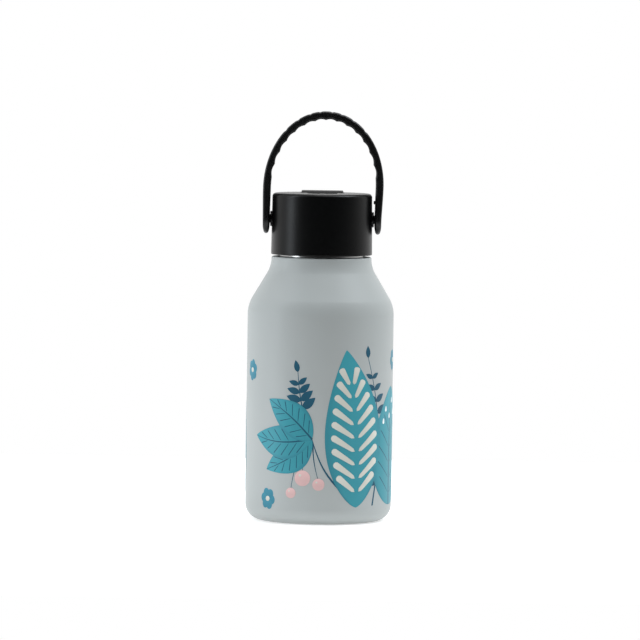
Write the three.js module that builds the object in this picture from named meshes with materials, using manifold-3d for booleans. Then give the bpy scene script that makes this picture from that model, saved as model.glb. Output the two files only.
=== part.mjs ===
// Kids' vacuum bottle: a double-walled steel flask with a screw lid, a folding drinking spout and a carry strap.
// Millimetres, +Z up. The origin is the centre of the foot, on the surface the bottle stands on.
// The strap's two pivots lie on a line along X. The folded spout points to -Y, the front.
import * as THREE from "three";
import { mergeVertices } from "three/addons/utils/BufferGeometryUtils.js";
import Module from "manifold-3d";

const wasm = await Module();
wasm.setup();

// ---- Driving dimensions -------------------------------------------------------------------------
const fit = 0.3; // gap between pieces that seat on or in each other
const around = 40; // facets round each turned piece

// Steel body
const bodyRadius = 36.5;
const shellWall = 0.5;
const flaskWall = 0.4;
const vacuumGap = 3.2; // between the two walls, at the side
const footBend = 8.0; // radius of the rounded lower edge
const footBand = 2.8; // width of the flat ring it stands on
const shoulderHeight = 107.4; // where the line of the cone meets the line of the side
const shoulderAngle = THREE.MathUtils.degToRad(30.7); // of the cone, from upright
const shoulderBend = 15;
const neckBend = 13;
const collarHeight = 4.9; // plain neck above the cone
const collarEdge = 0.8;
const flaskFloorHeight = 9.0; // underside of the inner flask
const flaskFloorBend = 9;
const flaskNeckBend = 8;

// Mouth and thread
const mouthRadius = 19.4;
const threadLead = 4.0; // height gained in one turn
const threadTurns = 1.5;
const threadHeight = 0.9;
const threadRoot = 1.8; // width at the wall
const threadCrest = 0.8;
const threadStart = 3.6; // from the ledge to the middle of the first turn
const threadRunOut = 2.7; // from the middle of the last turn to the rim
const threadPlay = 0.35; // between a crest and the wall it faces
const threadSeat = 1.4; // how far the lid's turn lies under the neck's turn

// Lid
const spoutRoom = 6.1; // height inside, from the liner's top to the underside of the spout's barrel
const lidWall = 1.9;
const lidDraft = 0.35; // the lid is this much narrower at the top
const lidEdge = 1.9;
const lidTopWall = 1.8;
const lidGap = 1.0; // between the lid and the ledge of the neck
const neckStepIn = 0.25; // the neck is this much narrower than the lid
const linerWall = 1.2;
const linerCeiling = 1.6;
const stopStep = 0.75; // the liner's top bears against this step in the lid
const plugDepth = 5.5;
const plugWall = 1.5;
const plugClearance = 2.7; // from the mouth to the wall of the plug, filled by the gasket
const plugLip = 1.0;

// Folding spout
const barrelRadius = 6.3;
const barrelLength = 21.0;
const barrelProud = 1.2; // above the lid's top
const spoutBore = 2.2;
const trunnionRadius = 2.2;
const trunnionLength = 1.2;
const nozzleRadius = 4.9;
const stubRadius = 3.2;
const stubReach = 17.5; // from the barrel's axis to the end of the stub
const mouthpieceTip = 2.6; // soft material in front of the stub
const recessWall = 1.4;
const recessPlay = 0.4; // round the barrel and under the spout
const scoopWidth = 14.4; // of the finger recess round the mouthpiece
const scoopLead = 2.2; // from the mouthpiece to the front of the recess

// Valve seat, vent and straw
const sealLength = 12.0;
const sealWidth = 9.0;
const seatWall = 1.2;
const seatHeight = 2.6;
const spigotRadius = 2.9;
const spigotReach = 10.0; // below the liner's ceiling
const strawWall = 0.7;
const strawClearance = 4.0; // above the flask's floor
const strawInset = 2.3; // between the straw and the plug
const ventInset = 2.9; // between the vent's disc and the plug
const ventDiscRadius = 3.8;
const ventStemRadius = 1.2;
const ventHoleRadius = 0.7;

// Carry strap and its studs
const strapThickness = 3.9;
const strapCrown = 4.3; // thickness at the top of the arch
const strapWidth = 12.0;
const strapEyeRadius = 7.4;
const strapRise = 53.8; // from the studs' axis to the top of the arch
const strapLeg = 16.0; // straight stretch above the axis
const strapGap = 0.9; // between the lid's side and the strap
const strapTipThickness = 2.2;
const gripRidges = 14;
const gripDepth = 0.5;
const studAbove = 4.2; // from the step inside the lid up to the studs' axis
const studRadius = 2.2;
const studHeadRadius = 3.4;
const studHeadThickness = 1.2;
const studBarbRadius = 2.9;
const padRadius = 3.85; // round pad on the lid behind each end of the strap
const strapSkin = 0.9; // strap material outside the stud's head

// Base
const baseCupHeight = 12;
const baseRise = 2.6; // the middle of the vacuum base lies this much above its edge
const coverThickness = 0.6;
const coverDish = 0.8;
const coverRecess = 0.5;
const sealHoleRadius = 0.9;
const getterRadius = 4.0;
const getterHeight = 1.8;
const getterOffset = 13;

// ---- Sizes that follow --------------------------------------------------------------------------
const flaskNeckRadius = mouthRadius + flaskWall;
const tubeBore = flaskNeckRadius + fit;
const tubeRadius = tubeBore + shellWall;
const crestRadius = tubeRadius + threadHeight;
const linerBore = crestRadius + threadPlay;
const linerRadius = linerBore + linerWall;
const lidBore = linerRadius + fit;
const lidRadius = lidBore + lidWall;
const lidTopRadius = lidRadius - lidDraft;
const neckRadius = lidRadius - neckStepIn;

const slope = Math.tan(shoulderAngle);
const coneTop = shoulderHeight + (bodyRadius - neckRadius) / slope;
const ledge = coneTop + collarHeight;
const rim = ledge + threadStart + threadLead * threadTurns + threadRunOut;
const lidBottom = ledge + lidGap;
const ceiling = rim + fit;
const ceilingTop = ceiling + linerCeiling;
const lidTop = ceilingTop + spoutRoom + 2 * barrelRadius - barrelProud;
const lidStop = ceilingTop + fit;
const upperBore = lidBore - stopStep;

const plugRadius = mouthRadius - plugClearance;
const plugBore = plugRadius - plugWall;
const strawBore = spigotRadius + fit;
const axisY = plugBore - strawInset - strawBore - strawWall;
const ventY = ventInset + ventDiscRadius - plugBore;
const axisZ = lidTop + barrelProud - barrelRadius;
const barrelHalf = barrelLength / 2;
const wellHalfX = barrelHalf + fit;
const wellHalfY = barrelRadius + recessPlay;
const channelFloor = axisZ - nozzleRadius - recessPlay;
const tipY = axisY - stubReach - mouthpieceTip;
const scoopRadius = scoopWidth / 2;
const scoopY = tipY - scoopLead + scoopRadius;

const studZ = lidStop + studAbove;
const strapInner = lidRadius + strapGap;
const strapOuter = strapInner + strapThickness;
const pocketOuter = strapOuter - strapSkin;
const padFace = strapInner - fit;
const flaskRadius = bodyRadius - shellWall - vacuumGap;
const footInner = bodyRadius - footBend - footBand;

// ---- Shape helpers ------------------------------------------------------------------------------
const point = (x, y) => new THREE.Vector2(x, y);

// Points of a line through corners [radius, height, bend], each corner rounded to its bend.
function bent(corners) {
  const points = [];
  corners.forEach(([x, y, bend = 0], i) => {
    const here = point(x, y);
    if (!bend || i === 0 || i === corners.length - 1) {
      points.push(here);
      return;
    }
    const back = point(corners[i - 1][0], corners[i - 1][1]).sub(here).normalize();
    const ahead = point(corners[i + 1][0], corners[i + 1][1]).sub(here).normalize();
    const half = Math.acos(THREE.MathUtils.clamp(back.dot(ahead), -1, 1)) / 2;
    const middle = back.clone().add(ahead).normalize();
    const centre = here.clone().addScaledVector(middle, bend / Math.sin(half));
    const first = here.clone().addScaledVector(back, bend / Math.tan(half)).sub(centre);
    const last = here.clone().addScaledVector(ahead, bend / Math.tan(half)).sub(centre);
    const turn = Math.atan2(first.cross(last), first.dot(last));
    const steps = bend < 1 ? 2 : Math.ceil(Math.abs(turn) / THREE.MathUtils.degToRad(25));
    for (let k = 0; k <= steps; k += 1) {
      points.push(first.clone().rotateAround(point(0, 0), (turn * k) / steps).add(centre));
    }
  });
  return points;
}

// A profile of [radius, height] turned about Z. It closes on itself, or begins and ends on the axis.
function turned(profile, facets = around) {
  const points = profile.map((p) => (p.isVector2 ? p.clone() : point(p[0], p[1])));
  const onAxis = points[0].x === 0 && points[points.length - 1].x === 0;
  if (!THREE.ShapeUtils.isClockWise(points)) {
    points.reverse();
  }
  points.reverse();
  if (!onAxis) {
    points.push(points[0].clone());
  }
  return new THREE.LatheGeometry(points, facets).rotateX(Math.PI / 2);
}

// A geometry as a solid that can be joined and cut.
function solid(geometry) {
  const bare = geometry.clone();
  bare.deleteAttribute("normal");
  bare.deleteAttribute("uv");
  const merged = mergeVertices(bare, 1e-3);
  return new wasm.Manifold(
    new wasm.Mesh({
      numProp: 3,
      vertProperties: merged.attributes.position.array,
      triVerts: new Uint32Array(merged.index.array),
    }),
  );
}

// A joined or cut solid back as a geometry.
function geometryOf(shape) {
  const mesh = shape.getMesh();
  const geometry = new THREE.BufferGeometry();
  geometry.setAttribute("position", new THREE.BufferAttribute(new Float32Array(mesh.vertProperties), 3));
  geometry.setIndex(new THREE.BufferAttribute(new Uint32Array(mesh.triVerts), 1));
  geometry.computeVertexNormals();
  return geometry;
}

function block(x0, x1, y0, y1, z0, z1) {
  const box = new THREE.BoxGeometry(x1 - x0, y1 - y0, z1 - z0);
  return solid(box.translate((x0 + x1) / 2, (y0 + y1) / 2, (z0 + z1) / 2));
}

function rod(axis, radius, from, to, centre, facets = 24, endRadius = radius) {
  const body = new THREE.CylinderGeometry(endRadius, radius, to - from, facets);
  body.translate(0, (from + to) / 2, 0);
  if (axis === "x") {
    return solid(body.rotateZ(-Math.PI / 2).translate(0, centre[0], centre[1]));
  }
  if (axis === "y") {
    return solid(body.translate(centre[0], 0, centre[1]));
  }
  return solid(body.rotateX(Math.PI / 2).translate(centre[0], centre[1], 0));
}

// A ridge that winds up a wall of the given radius, outwards (side 1) or inwards (side -1).
function threadRidge(radius, height, side, middle) {
  const bite = shellWall / 2;
  const section = new THREE.Shape([
    point(0, -threadRoot / 2),
    point(1, -threadCrest / 2),
    point(1, threadCrest / 2),
    point(0, threadRoot / 2),
  ]);
  const steps = Math.round(threadTurns * around);
  const ridge = new THREE.ExtrudeGeometry(section, { depth: 1, steps, bevelEnabled: false });
  const place = ridge.getAttribute("position");
  const sweep = threadTurns * 2 * Math.PI;
  const fade = (2 * Math.PI) / 16; // the ridge rises out of the wall over this angle
  for (let i = 0; i < place.count; i += 1) {
    const angle = place.getZ(i) * sweep;
    const grow = Math.min(1, angle / fade, (sweep - angle) / fade);
    const crest = -bite / 2 + grow * (height + bite / 2);
    const r = radius + side * (place.getX(i) ? crest : -bite);
    const z = middle - side * place.getY(i) + (threadLead * angle) / (2 * Math.PI);
    place.setXYZ(i, r * Math.cos(angle), r * Math.sin(angle), z);
  }
  return solid(ridge);
}

// ---- Materials ----------------------------------------------------------------------------------
const material = (color, roughness, metalness = 0) =>
  new THREE.MeshStandardMaterial({ color, roughness, metalness });
const coatedSteel = material(0xaab1b4, 0.55, 0.1);
const bareSteel = material(0xb9babb, 0.35, 1);
const blackPlastic = material(0x15171a, 0.45);
const innerPlastic = material(0x22252a, 0.5);
const blackRubber = material(0x101112, 0.7);
const clearSilicone = material(0xd9dcda, 0.5);
const strawPlastic = material(0xe4e7e6, 0.4);
const getterMetal = material(0x6c6a66, 0.6, 1);
const solder = material(0x9a9c9e, 0.4, 1);

// ---- Steel body ---------------------------------------------------------------------------------
// The side, shoulder, collar and threaded neck, at a depth below the outer surface.
function shellSurface(depth) {
  const drop = depth * Math.tan(shoulderAngle / 2);
  return bent([
    [footInner, depth],
    [bodyRadius - depth, depth, footBend - depth],
    [bodyRadius - depth, shoulderHeight - drop, shoulderBend - depth],
    [neckRadius - depth, coneTop - drop, neckBend + depth],
    [neckRadius - depth, ledge - depth, Math.max(collarEdge - depth, 0.2)],
    [tubeRadius - depth, ledge - depth],
    [tubeRadius - depth, rim - flaskWall - fit],
  ]);
}

function outerShell() {
  const wall = turned([...shellSurface(0), ...shellSurface(shellWall).reverse()]);
  const ridge = threadRidge(tubeRadius, threadHeight, 1, ledge + threadStart);
  return geometryOf(solid(wall).add(ridge));
}

// The inner flask hangs from its rolled rim, which closes over the top of the threaded neck.
function flaskSurface(depth) {
  const cone = shoulderHeight - (shellWall + vacuumGap + depth) * Math.tan(shoulderAngle / 2);
  const narrow = flaskNeckRadius - depth;
  const coneEnd = cone + (flaskRadius - flaskNeckRadius) / slope;
  return bent([
    [0, flaskFloorHeight + depth],
    [flaskRadius - depth, flaskFloorHeight + depth, flaskFloorBend - depth],
    [flaskRadius - depth, cone, shoulderBend - depth],
    [narrow, coneEnd, flaskNeckBend + depth],
    [narrow, rim - (depth ? 0 : flaskWall)],
  ]);
}

function innerFlask() {
  const outside = flaskSurface(0);
  const inside = flaskSurface(flaskWall).reverse();
  const lip = [point(tubeRadius, rim - flaskWall), point(tubeRadius, rim)];
  return turned([...outside, ...lip, ...inside]);
}

// The cup that closes the outer wall, with a raised middle, a pump-out hole and a dimple round it.
function vacuumBase() {
  const edge = bodyRadius - shellWall - fit;
  const low = shellWall + fit;
  const dimple = 1.0;
  const surface = (depth) =>
    bent([
      [edge - depth, baseCupHeight],
      [edge - depth, low + depth, footBend - shellWall - fit - depth],
      [footInner + 0.6, low + depth],
      [footInner - 2, low + baseRise + depth],
      [3 * sealHoleRadius, low + baseRise + depth],
      [sealHoleRadius, low + baseRise + dimple + depth],
    ]);
  return turned([...surface(0), ...surface(shellWall).reverse()]);
}

function baseCover() {
  const edge = footInner - fit;
  const step = edge - 4;
  const surface = (z) => [point(edge, z), point(step, z), point(step - 1.5, z + coverDish), point(0, z + coverDish)];
  return turned([...surface(coverRecess), ...surface(coverRecess + coverThickness).reverse()]);
}

const baseTop = shellWall + fit + baseRise; // underside of the raised middle of the vacuum base

function sealBead() {
  const floor = baseTop - fit;
  return turned([
    [0, floor - 0.5],
    [1.4 * sealHoleRadius, floor - 0.35],
    [2 * sealHoleRadius, floor],
    [sealHoleRadius * 0.9, floor + 0.8],
    [0, floor + 0.9],
  ], 16);
}

function getter() {
  const low = baseTop + shellWall + fit;
  return geometryOf(rod("z", getterRadius, low, low + getterHeight, [getterOffset, 0], 20));
}

// ---- Lid ----------------------------------------------------------------------------------------
function lidShell() {
  const cap = solid(
    turned(
      bent([
        [0, lidTop],
        [lidTopRadius, lidTop, lidEdge],
        [lidRadius, lidBottom, 0.5],
        [lidBore, lidBottom],
        [lidBore, lidStop],
        [upperBore, lidStop],
        [upperBore, lidTop - lidTopWall],
        [0, lidTop - lidTopWall],
      ]),
    ),
  );
  const shelf = lidTop - lidTopWall / 2;
  const boxes = block(
    -wellHalfX - recessWall,
    wellHalfX + recessWall,
    axisY - wellHalfY - recessWall,
    axisY + wellHalfY + recessWall,
    channelFloor - recessWall,
    shelf,
  )
    .add(block(-scoopRadius - recessWall, scoopRadius + recessWall, scoopY, axisY, channelFloor - recessWall, shelf))
    .add(rod("z", scoopRadius + recessWall, channelFloor - recessWall, shelf, [0, scoopY], 28));
  const above = lidTop + 1;
  const well = block(
    -wellHalfX,
    wellHalfX,
    axisY - wellHalfY,
    axisY + wellHalfY,
    channelFloor - 2 * recessWall,
    above,
  );
  const channel = block(-scoopRadius, scoopRadius, scoopY, axisY, channelFloor, above).add(
    rod("z", scoopRadius, channelFloor, above, [0, scoopY], 28),
  );
  const bearingEnd = wellHalfX + 2 * recessWall;
  const bearing = rod("x", trunnionRadius + fit, -bearingEnd, bearingEnd, [axisY, axisZ], 16);
  const drain = rod("z", ventHoleRadius, channelFloor - 2 * recessWall, above, [0, scoopY], 10);
  let lid = cap.add(boxes).subtract(well).subtract(channel).subtract(bearing).subtract(drain);
  for (const side of [-1, 1]) {
    const span = (inner, outer) => (side > 0 ? [inner, outer] : [-outer, -inner]);
    lid = lid.add(rod("x", padRadius, ...span(lidBore + lidWall / 4, padFace), [0, studZ], 28));
    lid = lid.subtract(rod("x", studRadius + fit, ...span(upperBore - 1, padFace + 1), [0, studZ], 16));
  }
  return geometryOf(lid);
}

const plugBottom = ceiling - plugDepth;
const sealBottom = ceilingTop + fit;
const sealTop = axisZ - nozzleRadius - fit;

function lidLiner() {
  const skirtBottom = lidBottom + 0.5;
  let liner = solid(
    turned([
      [0, ceilingTop],
      [linerRadius, ceilingTop],
      [linerRadius, skirtBottom],
      [linerBore, skirtBottom],
      [linerBore, ceiling],
      [plugRadius, ceiling],
      [plugRadius, plugBottom + plugLip],
      [mouthRadius - 1, plugBottom + plugLip],
      [mouthRadius - 1, plugBottom],
      [plugBore, plugBottom],
      [plugBore, ceiling],
      [0, ceiling],
    ]),
  );
  liner = liner.add(threadRidge(linerBore, threadHeight - 0.2, -1, ledge + threadStart - threadSeat));
  const [seatX, seatY] = [sealLength / 2 + fit, sealWidth / 2 + fit];
  const seat = block(
    -seatX - seatWall,
    seatX + seatWall,
    axisY - seatY - seatWall,
    axisY + seatY + seatWall,
    ceilingTop - 0.5,
    ceilingTop + seatHeight,
  ).subtract(block(-seatX, seatX, axisY - seatY, axisY + seatY, ceilingTop - 0.6, ceilingTop + seatHeight + 1));
  liner = liner.add(seat).add(rod("z", spigotRadius, ceiling - spigotReach, ceiling + 0.5, [0, axisY], 20));
  liner = liner.subtract(rod("z", spoutBore, ceiling - spigotReach - 1, ceilingTop + 1, [0, axisY], 16));
  liner = liner.subtract(rod("z", ventStemRadius + fit, ceiling - 1, ceilingTop + 1, [0, ventY], 12));
  for (const side of [-1, 1]) {
    const x = side * (ventStemRadius + fit + ventHoleRadius + 0.3);
    liner = liner.subtract(rod("z", ventHoleRadius, ceiling - 1, ceilingTop + 1, [x, ventY], 8));
  }
  return geometryOf(liner);
}

// A ring with two soft lips, seated round the plug.
function lidGasket() {
  const inner = plugRadius + fit;
  const lip = mouthRadius - fit;
  const root = inner + 0.45 * (lip - inner);
  const low = plugBottom + plugLip + fit;
  const high = ceiling - fit;
  const third = (high - low) / 3;
  return turned([
    [inner, low],
    [root, low],
    [lip, low + 0.4 * third],
    [root, low + third],
    [root, low + 1.7 * third],
    [lip, low + 2.1 * third],
    [root, high],
    [inner, high],
  ]);
}

function spoutSeal() {
  const body = block(
    -sealLength / 2,
    sealLength / 2,
    axisY - sealWidth / 2,
    axisY + sealWidth / 2,
    sealBottom,
    sealTop,
  );
  const barrel = rod("x", barrelRadius + fit, -barrelHalf, barrelHalf, [axisY, axisZ], 40);
  const hole = rod("z", spoutBore, sealBottom - 1, axisZ, [0, axisY], 16);
  return geometryOf(body.subtract(barrel).subtract(hole));
}

function ventValve() {
  const disc = 0.6;
  const low = ceiling - fit - disc;
  const bulb = ceilingTop + fit;
  return turned([
    [0, low],
    [ventDiscRadius * 0.7, low],
    [ventDiscRadius, low + disc * 0.6],
    [ventDiscRadius, low + disc],
    [ventStemRadius, low + disc],
    [ventStemRadius, bulb],
    [ventStemRadius + 0.7, bulb + 0.4],
    [ventStemRadius * 0.6, bulb + 2],
    [0, bulb + 2],
  ], 16).translate(0, ventY, 0);
}

function straw() {
  const top = ceiling - fit;
  const bottom = flaskFloorHeight + flaskWall + strawClearance;
  const tube = solid(
    turned(
      [
        [strawBore, bottom],
        [strawBore + strawWall, bottom],
        [strawBore + strawWall, top],
        [strawBore, top],
      ],
      20,
    ),
  ).translate([0, axisY, 0]);
  const wide = 2 * (strawBore + strawWall);
  const notch = new THREE.BoxGeometry(3 * wide, wide, 3 * wide).translate(0, 0, -1.5 * wide);
  notch.rotateY(Math.PI / 6).translate(0, axisY, bottom + 0.2 * wide);
  return geometryOf(tube.subtract(solid(notch)));
}

// ---- Folding spout ------------------------------------------------------------------------------
function spout() {
  const centre = [axisY, axisZ];
  const edge = 0.5;
  let body = rod("x", barrelRadius, -barrelHalf + edge, barrelHalf - edge, centre, 40);
  for (const side of [-1, 1]) {
    const [from, to] = side > 0 ? [barrelHalf - edge, barrelHalf] : [-barrelHalf, edge - barrelHalf];
    const [low, high] = side > 0 ? [barrelRadius, barrelRadius - edge] : [barrelRadius - edge, barrelRadius];
    body = body.add(rod("x", low, from, to, centre, 40, high));
  }
  const reach = wellHalfX + trunnionLength;
  body = body.add(rod("x", trunnionRadius, -reach, reach, centre, 16));
  const rootEnd = axisY - barrelRadius - 1.6;
  body = body.add(rod("y", nozzleRadius, rootEnd, axisY, [0, axisZ], 28));
  body = body.add(rod("y", stubRadius, axisY - stubReach, axisY, [0, axisZ], 20));
  return geometryOf(body.subtract(rod("y", spoutBore, axisY - stubReach - 1, axisY + barrelRadius + 1, [0, axisZ], 16)));
}

// The soft piece that is drunk from, pushed over the stub.
function mouthpiece() {
  const back = axisY - barrelRadius - 1.6 - fit;
  const front = axisY - stubReach - fit;
  const sleeve = turned(
    [
      [spoutBore, tipY],
      [nozzleRadius - 1.2, tipY],
      [nozzleRadius - 0.3, tipY + 1.0],
      [nozzleRadius - 0.3, tipY + 2.2],
      [nozzleRadius - 0.9, tipY + 3.4],
      [nozzleRadius - 0.1, back],
      [stubRadius + fit, back],
      [stubRadius + fit, front],
      [spoutBore, front],
    ],
    28,
  );
  return sleeve.rotateX(-Math.PI / 2).translate(0, 0, axisZ);
}

// ---- Carry strap --------------------------------------------------------------------------------
const archZ = studZ + strapLeg;
const archRise = strapRise - strapLeg;

// Half of the arch's inner or outer line: from the leg (angle 0) to the crown (angle 90 degrees).
function archPoint(halfWidth, rise, angle, inset = 0) {
  const normal = point(Math.cos(angle) / halfWidth, Math.sin(angle) / rise).normalize();
  return point(halfWidth * Math.cos(angle), archZ + rise * Math.sin(angle)).addScaledVector(normal, inset);
}

function strap() {
  const tip = studZ - strapEyeRadius;
  const outline = [
    point(strapInner + 0.5 * (strapThickness - strapTipThickness), tip),
    point(strapInner + 0.5 * (strapThickness + strapTipThickness), tip),
    point(strapOuter - 0.3, tip + 3),
    point(strapOuter, studZ),
  ];
  const steps = 36;
  for (let k = 0; k <= steps; k += 1) {
    outline.push(archPoint(strapOuter, archRise, (Math.PI * k) / steps));
  }
  outline.push(
    point(-strapOuter, studZ),
    point(-strapOuter + 0.3, tip + 3),
    point(-strapInner - 0.5 * (strapThickness + strapTipThickness), tip),
    point(-strapInner - 0.5 * (strapThickness - strapTipThickness), tip),
    point(-strapInner, tip + 3),
    point(-strapInner, archZ),
  );
  // The inner side, with a row of shallow finger hollows between sharp ridges.
  const perRidge = 4;
  const gripStart = THREE.MathUtils.degToRad(8);
  const gripSteps = gripRidges * perRidge;
  for (let k = 0; k <= gripSteps; k += 1) {
    const angle = Math.PI - gripStart - ((Math.PI - 2 * gripStart) * k) / gripSteps;
    const hollow = gripDepth * Math.sin((Math.PI * (k % perRidge)) / perRidge);
    outline.push(archPoint(strapInner, archRise - strapCrown, angle, hollow));
  }
  outline.push(point(strapInner, archZ), point(strapInner, tip + 3));
  const width = 2 * strapEyeRadius;
  const arch = new THREE.ExtrudeGeometry(new THREE.Shape(outline), { depth: width, bevelEnabled: false });
  arch.rotateX(Math.PI / 2).translate(0, width / 2, 0);

  // Seen from the side: a round eye at each end, narrowing to the width of the strap.
  const side = new THREE.Shape();
  const half = strapWidth / 2;
  side.moveTo(half, archZ);
  side.lineTo(half, archZ + 2 * archRise);
  side.lineTo(-half, archZ + 2 * archRise);
  side.lineTo(-half, archZ);
  side.absarc(0, studZ, strapEyeRadius, Math.PI, 2 * Math.PI, false);
  side.closePath();
  const profile = new THREE.ExtrudeGeometry(side, { depth: 3 * strapOuter, bevelEnabled: false, curveSegments: 12 });
  profile.rotateX(Math.PI / 2).rotateZ(Math.PI / 2).translate(-1.5 * strapOuter, 0, 0);
  let body = solid(arch).intersect(solid(profile));
  for (const end of [-1, 1]) {
    const neck = [strapInner - 1, strapInner + 1.5];
    const head = [pocketOuter - studHeadThickness - 2 * fit, pocketOuter];
    for (const [radius, [from, to]] of [
      [studRadius + fit, neck],
      [studHeadRadius + fit, head],
    ]) {
      const span = end > 0 ? [from, to] : [-to, -from];
      body = body.subtract(rod("x", radius, span[0], span[1], [0, studZ], 20));
    }
  }
  return geometryOf(body);
}

// A stud snaps into the lid's wall with a barb and holds the strap with a wide head.
function strapStud(end) {
  const headOuter = pocketOuter - fit;
  const headInner = headOuter - studHeadThickness;
  const barbEnd = upperBore - 2.1;
  const boreFlat = upperBore * Math.cos(Math.PI / around); // the lid's faceted bore at its closest
  const barbBack = Math.sqrt(boreFlat ** 2 - studBarbRadius ** 2) - fit;
  const profile = [
    [0, barbEnd],
    [studRadius, barbEnd],
    [studBarbRadius, barbBack - 0.8],
    [studBarbRadius, barbBack],
    [studRadius, barbBack],
    [studRadius, headInner],
    [studHeadRadius, headInner],
    [studHeadRadius, headOuter - 0.3],
    [studHeadRadius - 0.5, headOuter],
    [0, headOuter],
  ];
  return turned(profile, 20).rotateY((end * Math.PI) / 2).translate(0, 0, studZ);
}

// ---- Assembly -----------------------------------------------------------------------------------
const bottle = new THREE.Group();

function place(name, geometry, finish) {
  const mesh = new THREE.Mesh(geometry, finish);
  mesh.name = name;
  bottle.add(mesh);
}

place("outer_shell", outerShell(), coatedSteel);
place("inner_flask", innerFlask(), bareSteel);
place("vacuum_base", vacuumBase(), bareSteel);
place("base_cover", baseCover(), bareSteel);
place("seal_bead", sealBead(), solder);
place("getter", getter(), getterMetal);
place("lid_shell", lidShell(), blackPlastic);
place("lid_liner", lidLiner(), innerPlastic);
place("lid_gasket", lidGasket(), clearSilicone);
place("spout_seal", spoutSeal(), clearSilicone);
place("vent_valve", ventValve(), clearSilicone);
place("straw", straw(), strawPlastic);
place("spout", spout(), blackPlastic);
place("mouthpiece", mouthpiece(), blackRubber);
place("strap", strap(), blackRubber);
place("strap_stud_left", strapStud(-1), blackPlastic);
place("strap_stud_right", strapStud(1), blackPlastic);

export default bottle;
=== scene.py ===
"""A child's vacuum bottle with a black screw lid, a folding spout and a carry strap.

The grey-blue shell carries a printed pattern of leaves, sprigs and berries. Lengths are in metres,
+Z is up, and the bottle's front faces -Y.
"""

import math

import bmesh
import bpy
from bpy.props import FloatProperty, FloatVectorProperty, IntProperty, PointerProperty
from mathutils import Matrix, Vector


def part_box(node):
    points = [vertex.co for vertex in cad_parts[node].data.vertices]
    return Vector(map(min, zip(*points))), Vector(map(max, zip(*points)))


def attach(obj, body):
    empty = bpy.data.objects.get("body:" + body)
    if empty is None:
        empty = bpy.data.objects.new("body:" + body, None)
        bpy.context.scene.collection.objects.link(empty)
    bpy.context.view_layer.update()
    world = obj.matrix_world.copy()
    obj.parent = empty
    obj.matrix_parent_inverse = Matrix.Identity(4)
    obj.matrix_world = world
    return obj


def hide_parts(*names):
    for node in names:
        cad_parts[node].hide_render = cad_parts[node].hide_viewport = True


bl_info = {
    "name": "Vacuum bottle",
    "version": (1, 0, 0),
    "blender": (4, 5, 0),
    "location": "View3D > Sidebar > Bottle",
    "description": "Builds a small steel bottle with a screw lid, folding spout and carry strap",
    "category": "Add Mesh",
}

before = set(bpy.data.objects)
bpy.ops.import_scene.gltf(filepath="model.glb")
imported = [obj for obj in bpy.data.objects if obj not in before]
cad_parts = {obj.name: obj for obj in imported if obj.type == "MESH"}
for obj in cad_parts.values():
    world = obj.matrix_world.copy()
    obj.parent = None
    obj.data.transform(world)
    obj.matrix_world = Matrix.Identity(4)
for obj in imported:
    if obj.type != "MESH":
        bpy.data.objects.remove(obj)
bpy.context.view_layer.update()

MM = 0.001
FIT = 0.3 * MM  # gap between pieces that seat on each other
FULL_TURN = 2 * math.pi

# Places that the frame gives.
SHELL_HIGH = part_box("outer_shell")[1]
FLASK_LOW, FLASK_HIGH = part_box("inner_flask")
LID_LOW, LID_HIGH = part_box("lid_shell")
LINER_LOW, LINER_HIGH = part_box("lid_liner")
SPOUT_LOW, SPOUT_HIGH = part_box("spout")
SLEEVE_LOW, SLEEVE_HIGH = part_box("mouthpiece")
STRAP_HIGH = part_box("strap")[1]
STUD_LOW, STUD_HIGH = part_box("strap_stud_right")
STRAW_LOW, STRAW_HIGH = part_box("straw")
GASKET_LOW, GASKET_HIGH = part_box("lid_gasket")
VENT_LOW, VENT_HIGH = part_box("vent_valve")
SEAL_LOW, SEAL_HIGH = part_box("spout_seal")
CUP_LOW, CUP_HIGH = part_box("vacuum_base")
COVER_LOW, COVER_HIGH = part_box("base_cover")
BEAD_LOW, BEAD_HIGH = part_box("seal_bead")
GETTER_LOW, GETTER_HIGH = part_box("getter")

BODY_RADIUS = SHELL_HIGH[0]
LID_RADIUS = LID_HIGH[1]
LID_FOOT = LID_LOW[2]
LID_CROWN = LID_HIGH[2]
RIM = FLASK_HIGH[2]
STUD_Z = (STUD_LOW[2] + STUD_HIGH[2]) / 2
BARREL_RADIUS = (SPOUT_HIGH[2] - SPOUT_LOW[2]) / 2
BARREL_Y = SPOUT_HIGH[1] - BARREL_RADIUS
BARREL_Z = SPOUT_HIGH[2] - BARREL_RADIUS
STRAP_LIMB_INNER = LID_HIGH[0] + FIT  # inner face of the strap's legs


# ---- Settings -----------------------------------------------------------------------------------
def length(name, description, default):
    return FloatProperty(name=name, description=description, default=default, unit="LENGTH", precision=5)


def angle(name, description, degrees):
    return FloatProperty(name=name, description=description, default=math.radians(degrees), subtype="ANGLE")


def colour(name, description, default):
    return FloatVectorProperty(
        name=name, description=description, default=default, subtype="COLOR", size=3, min=0, max=1
    )


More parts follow.
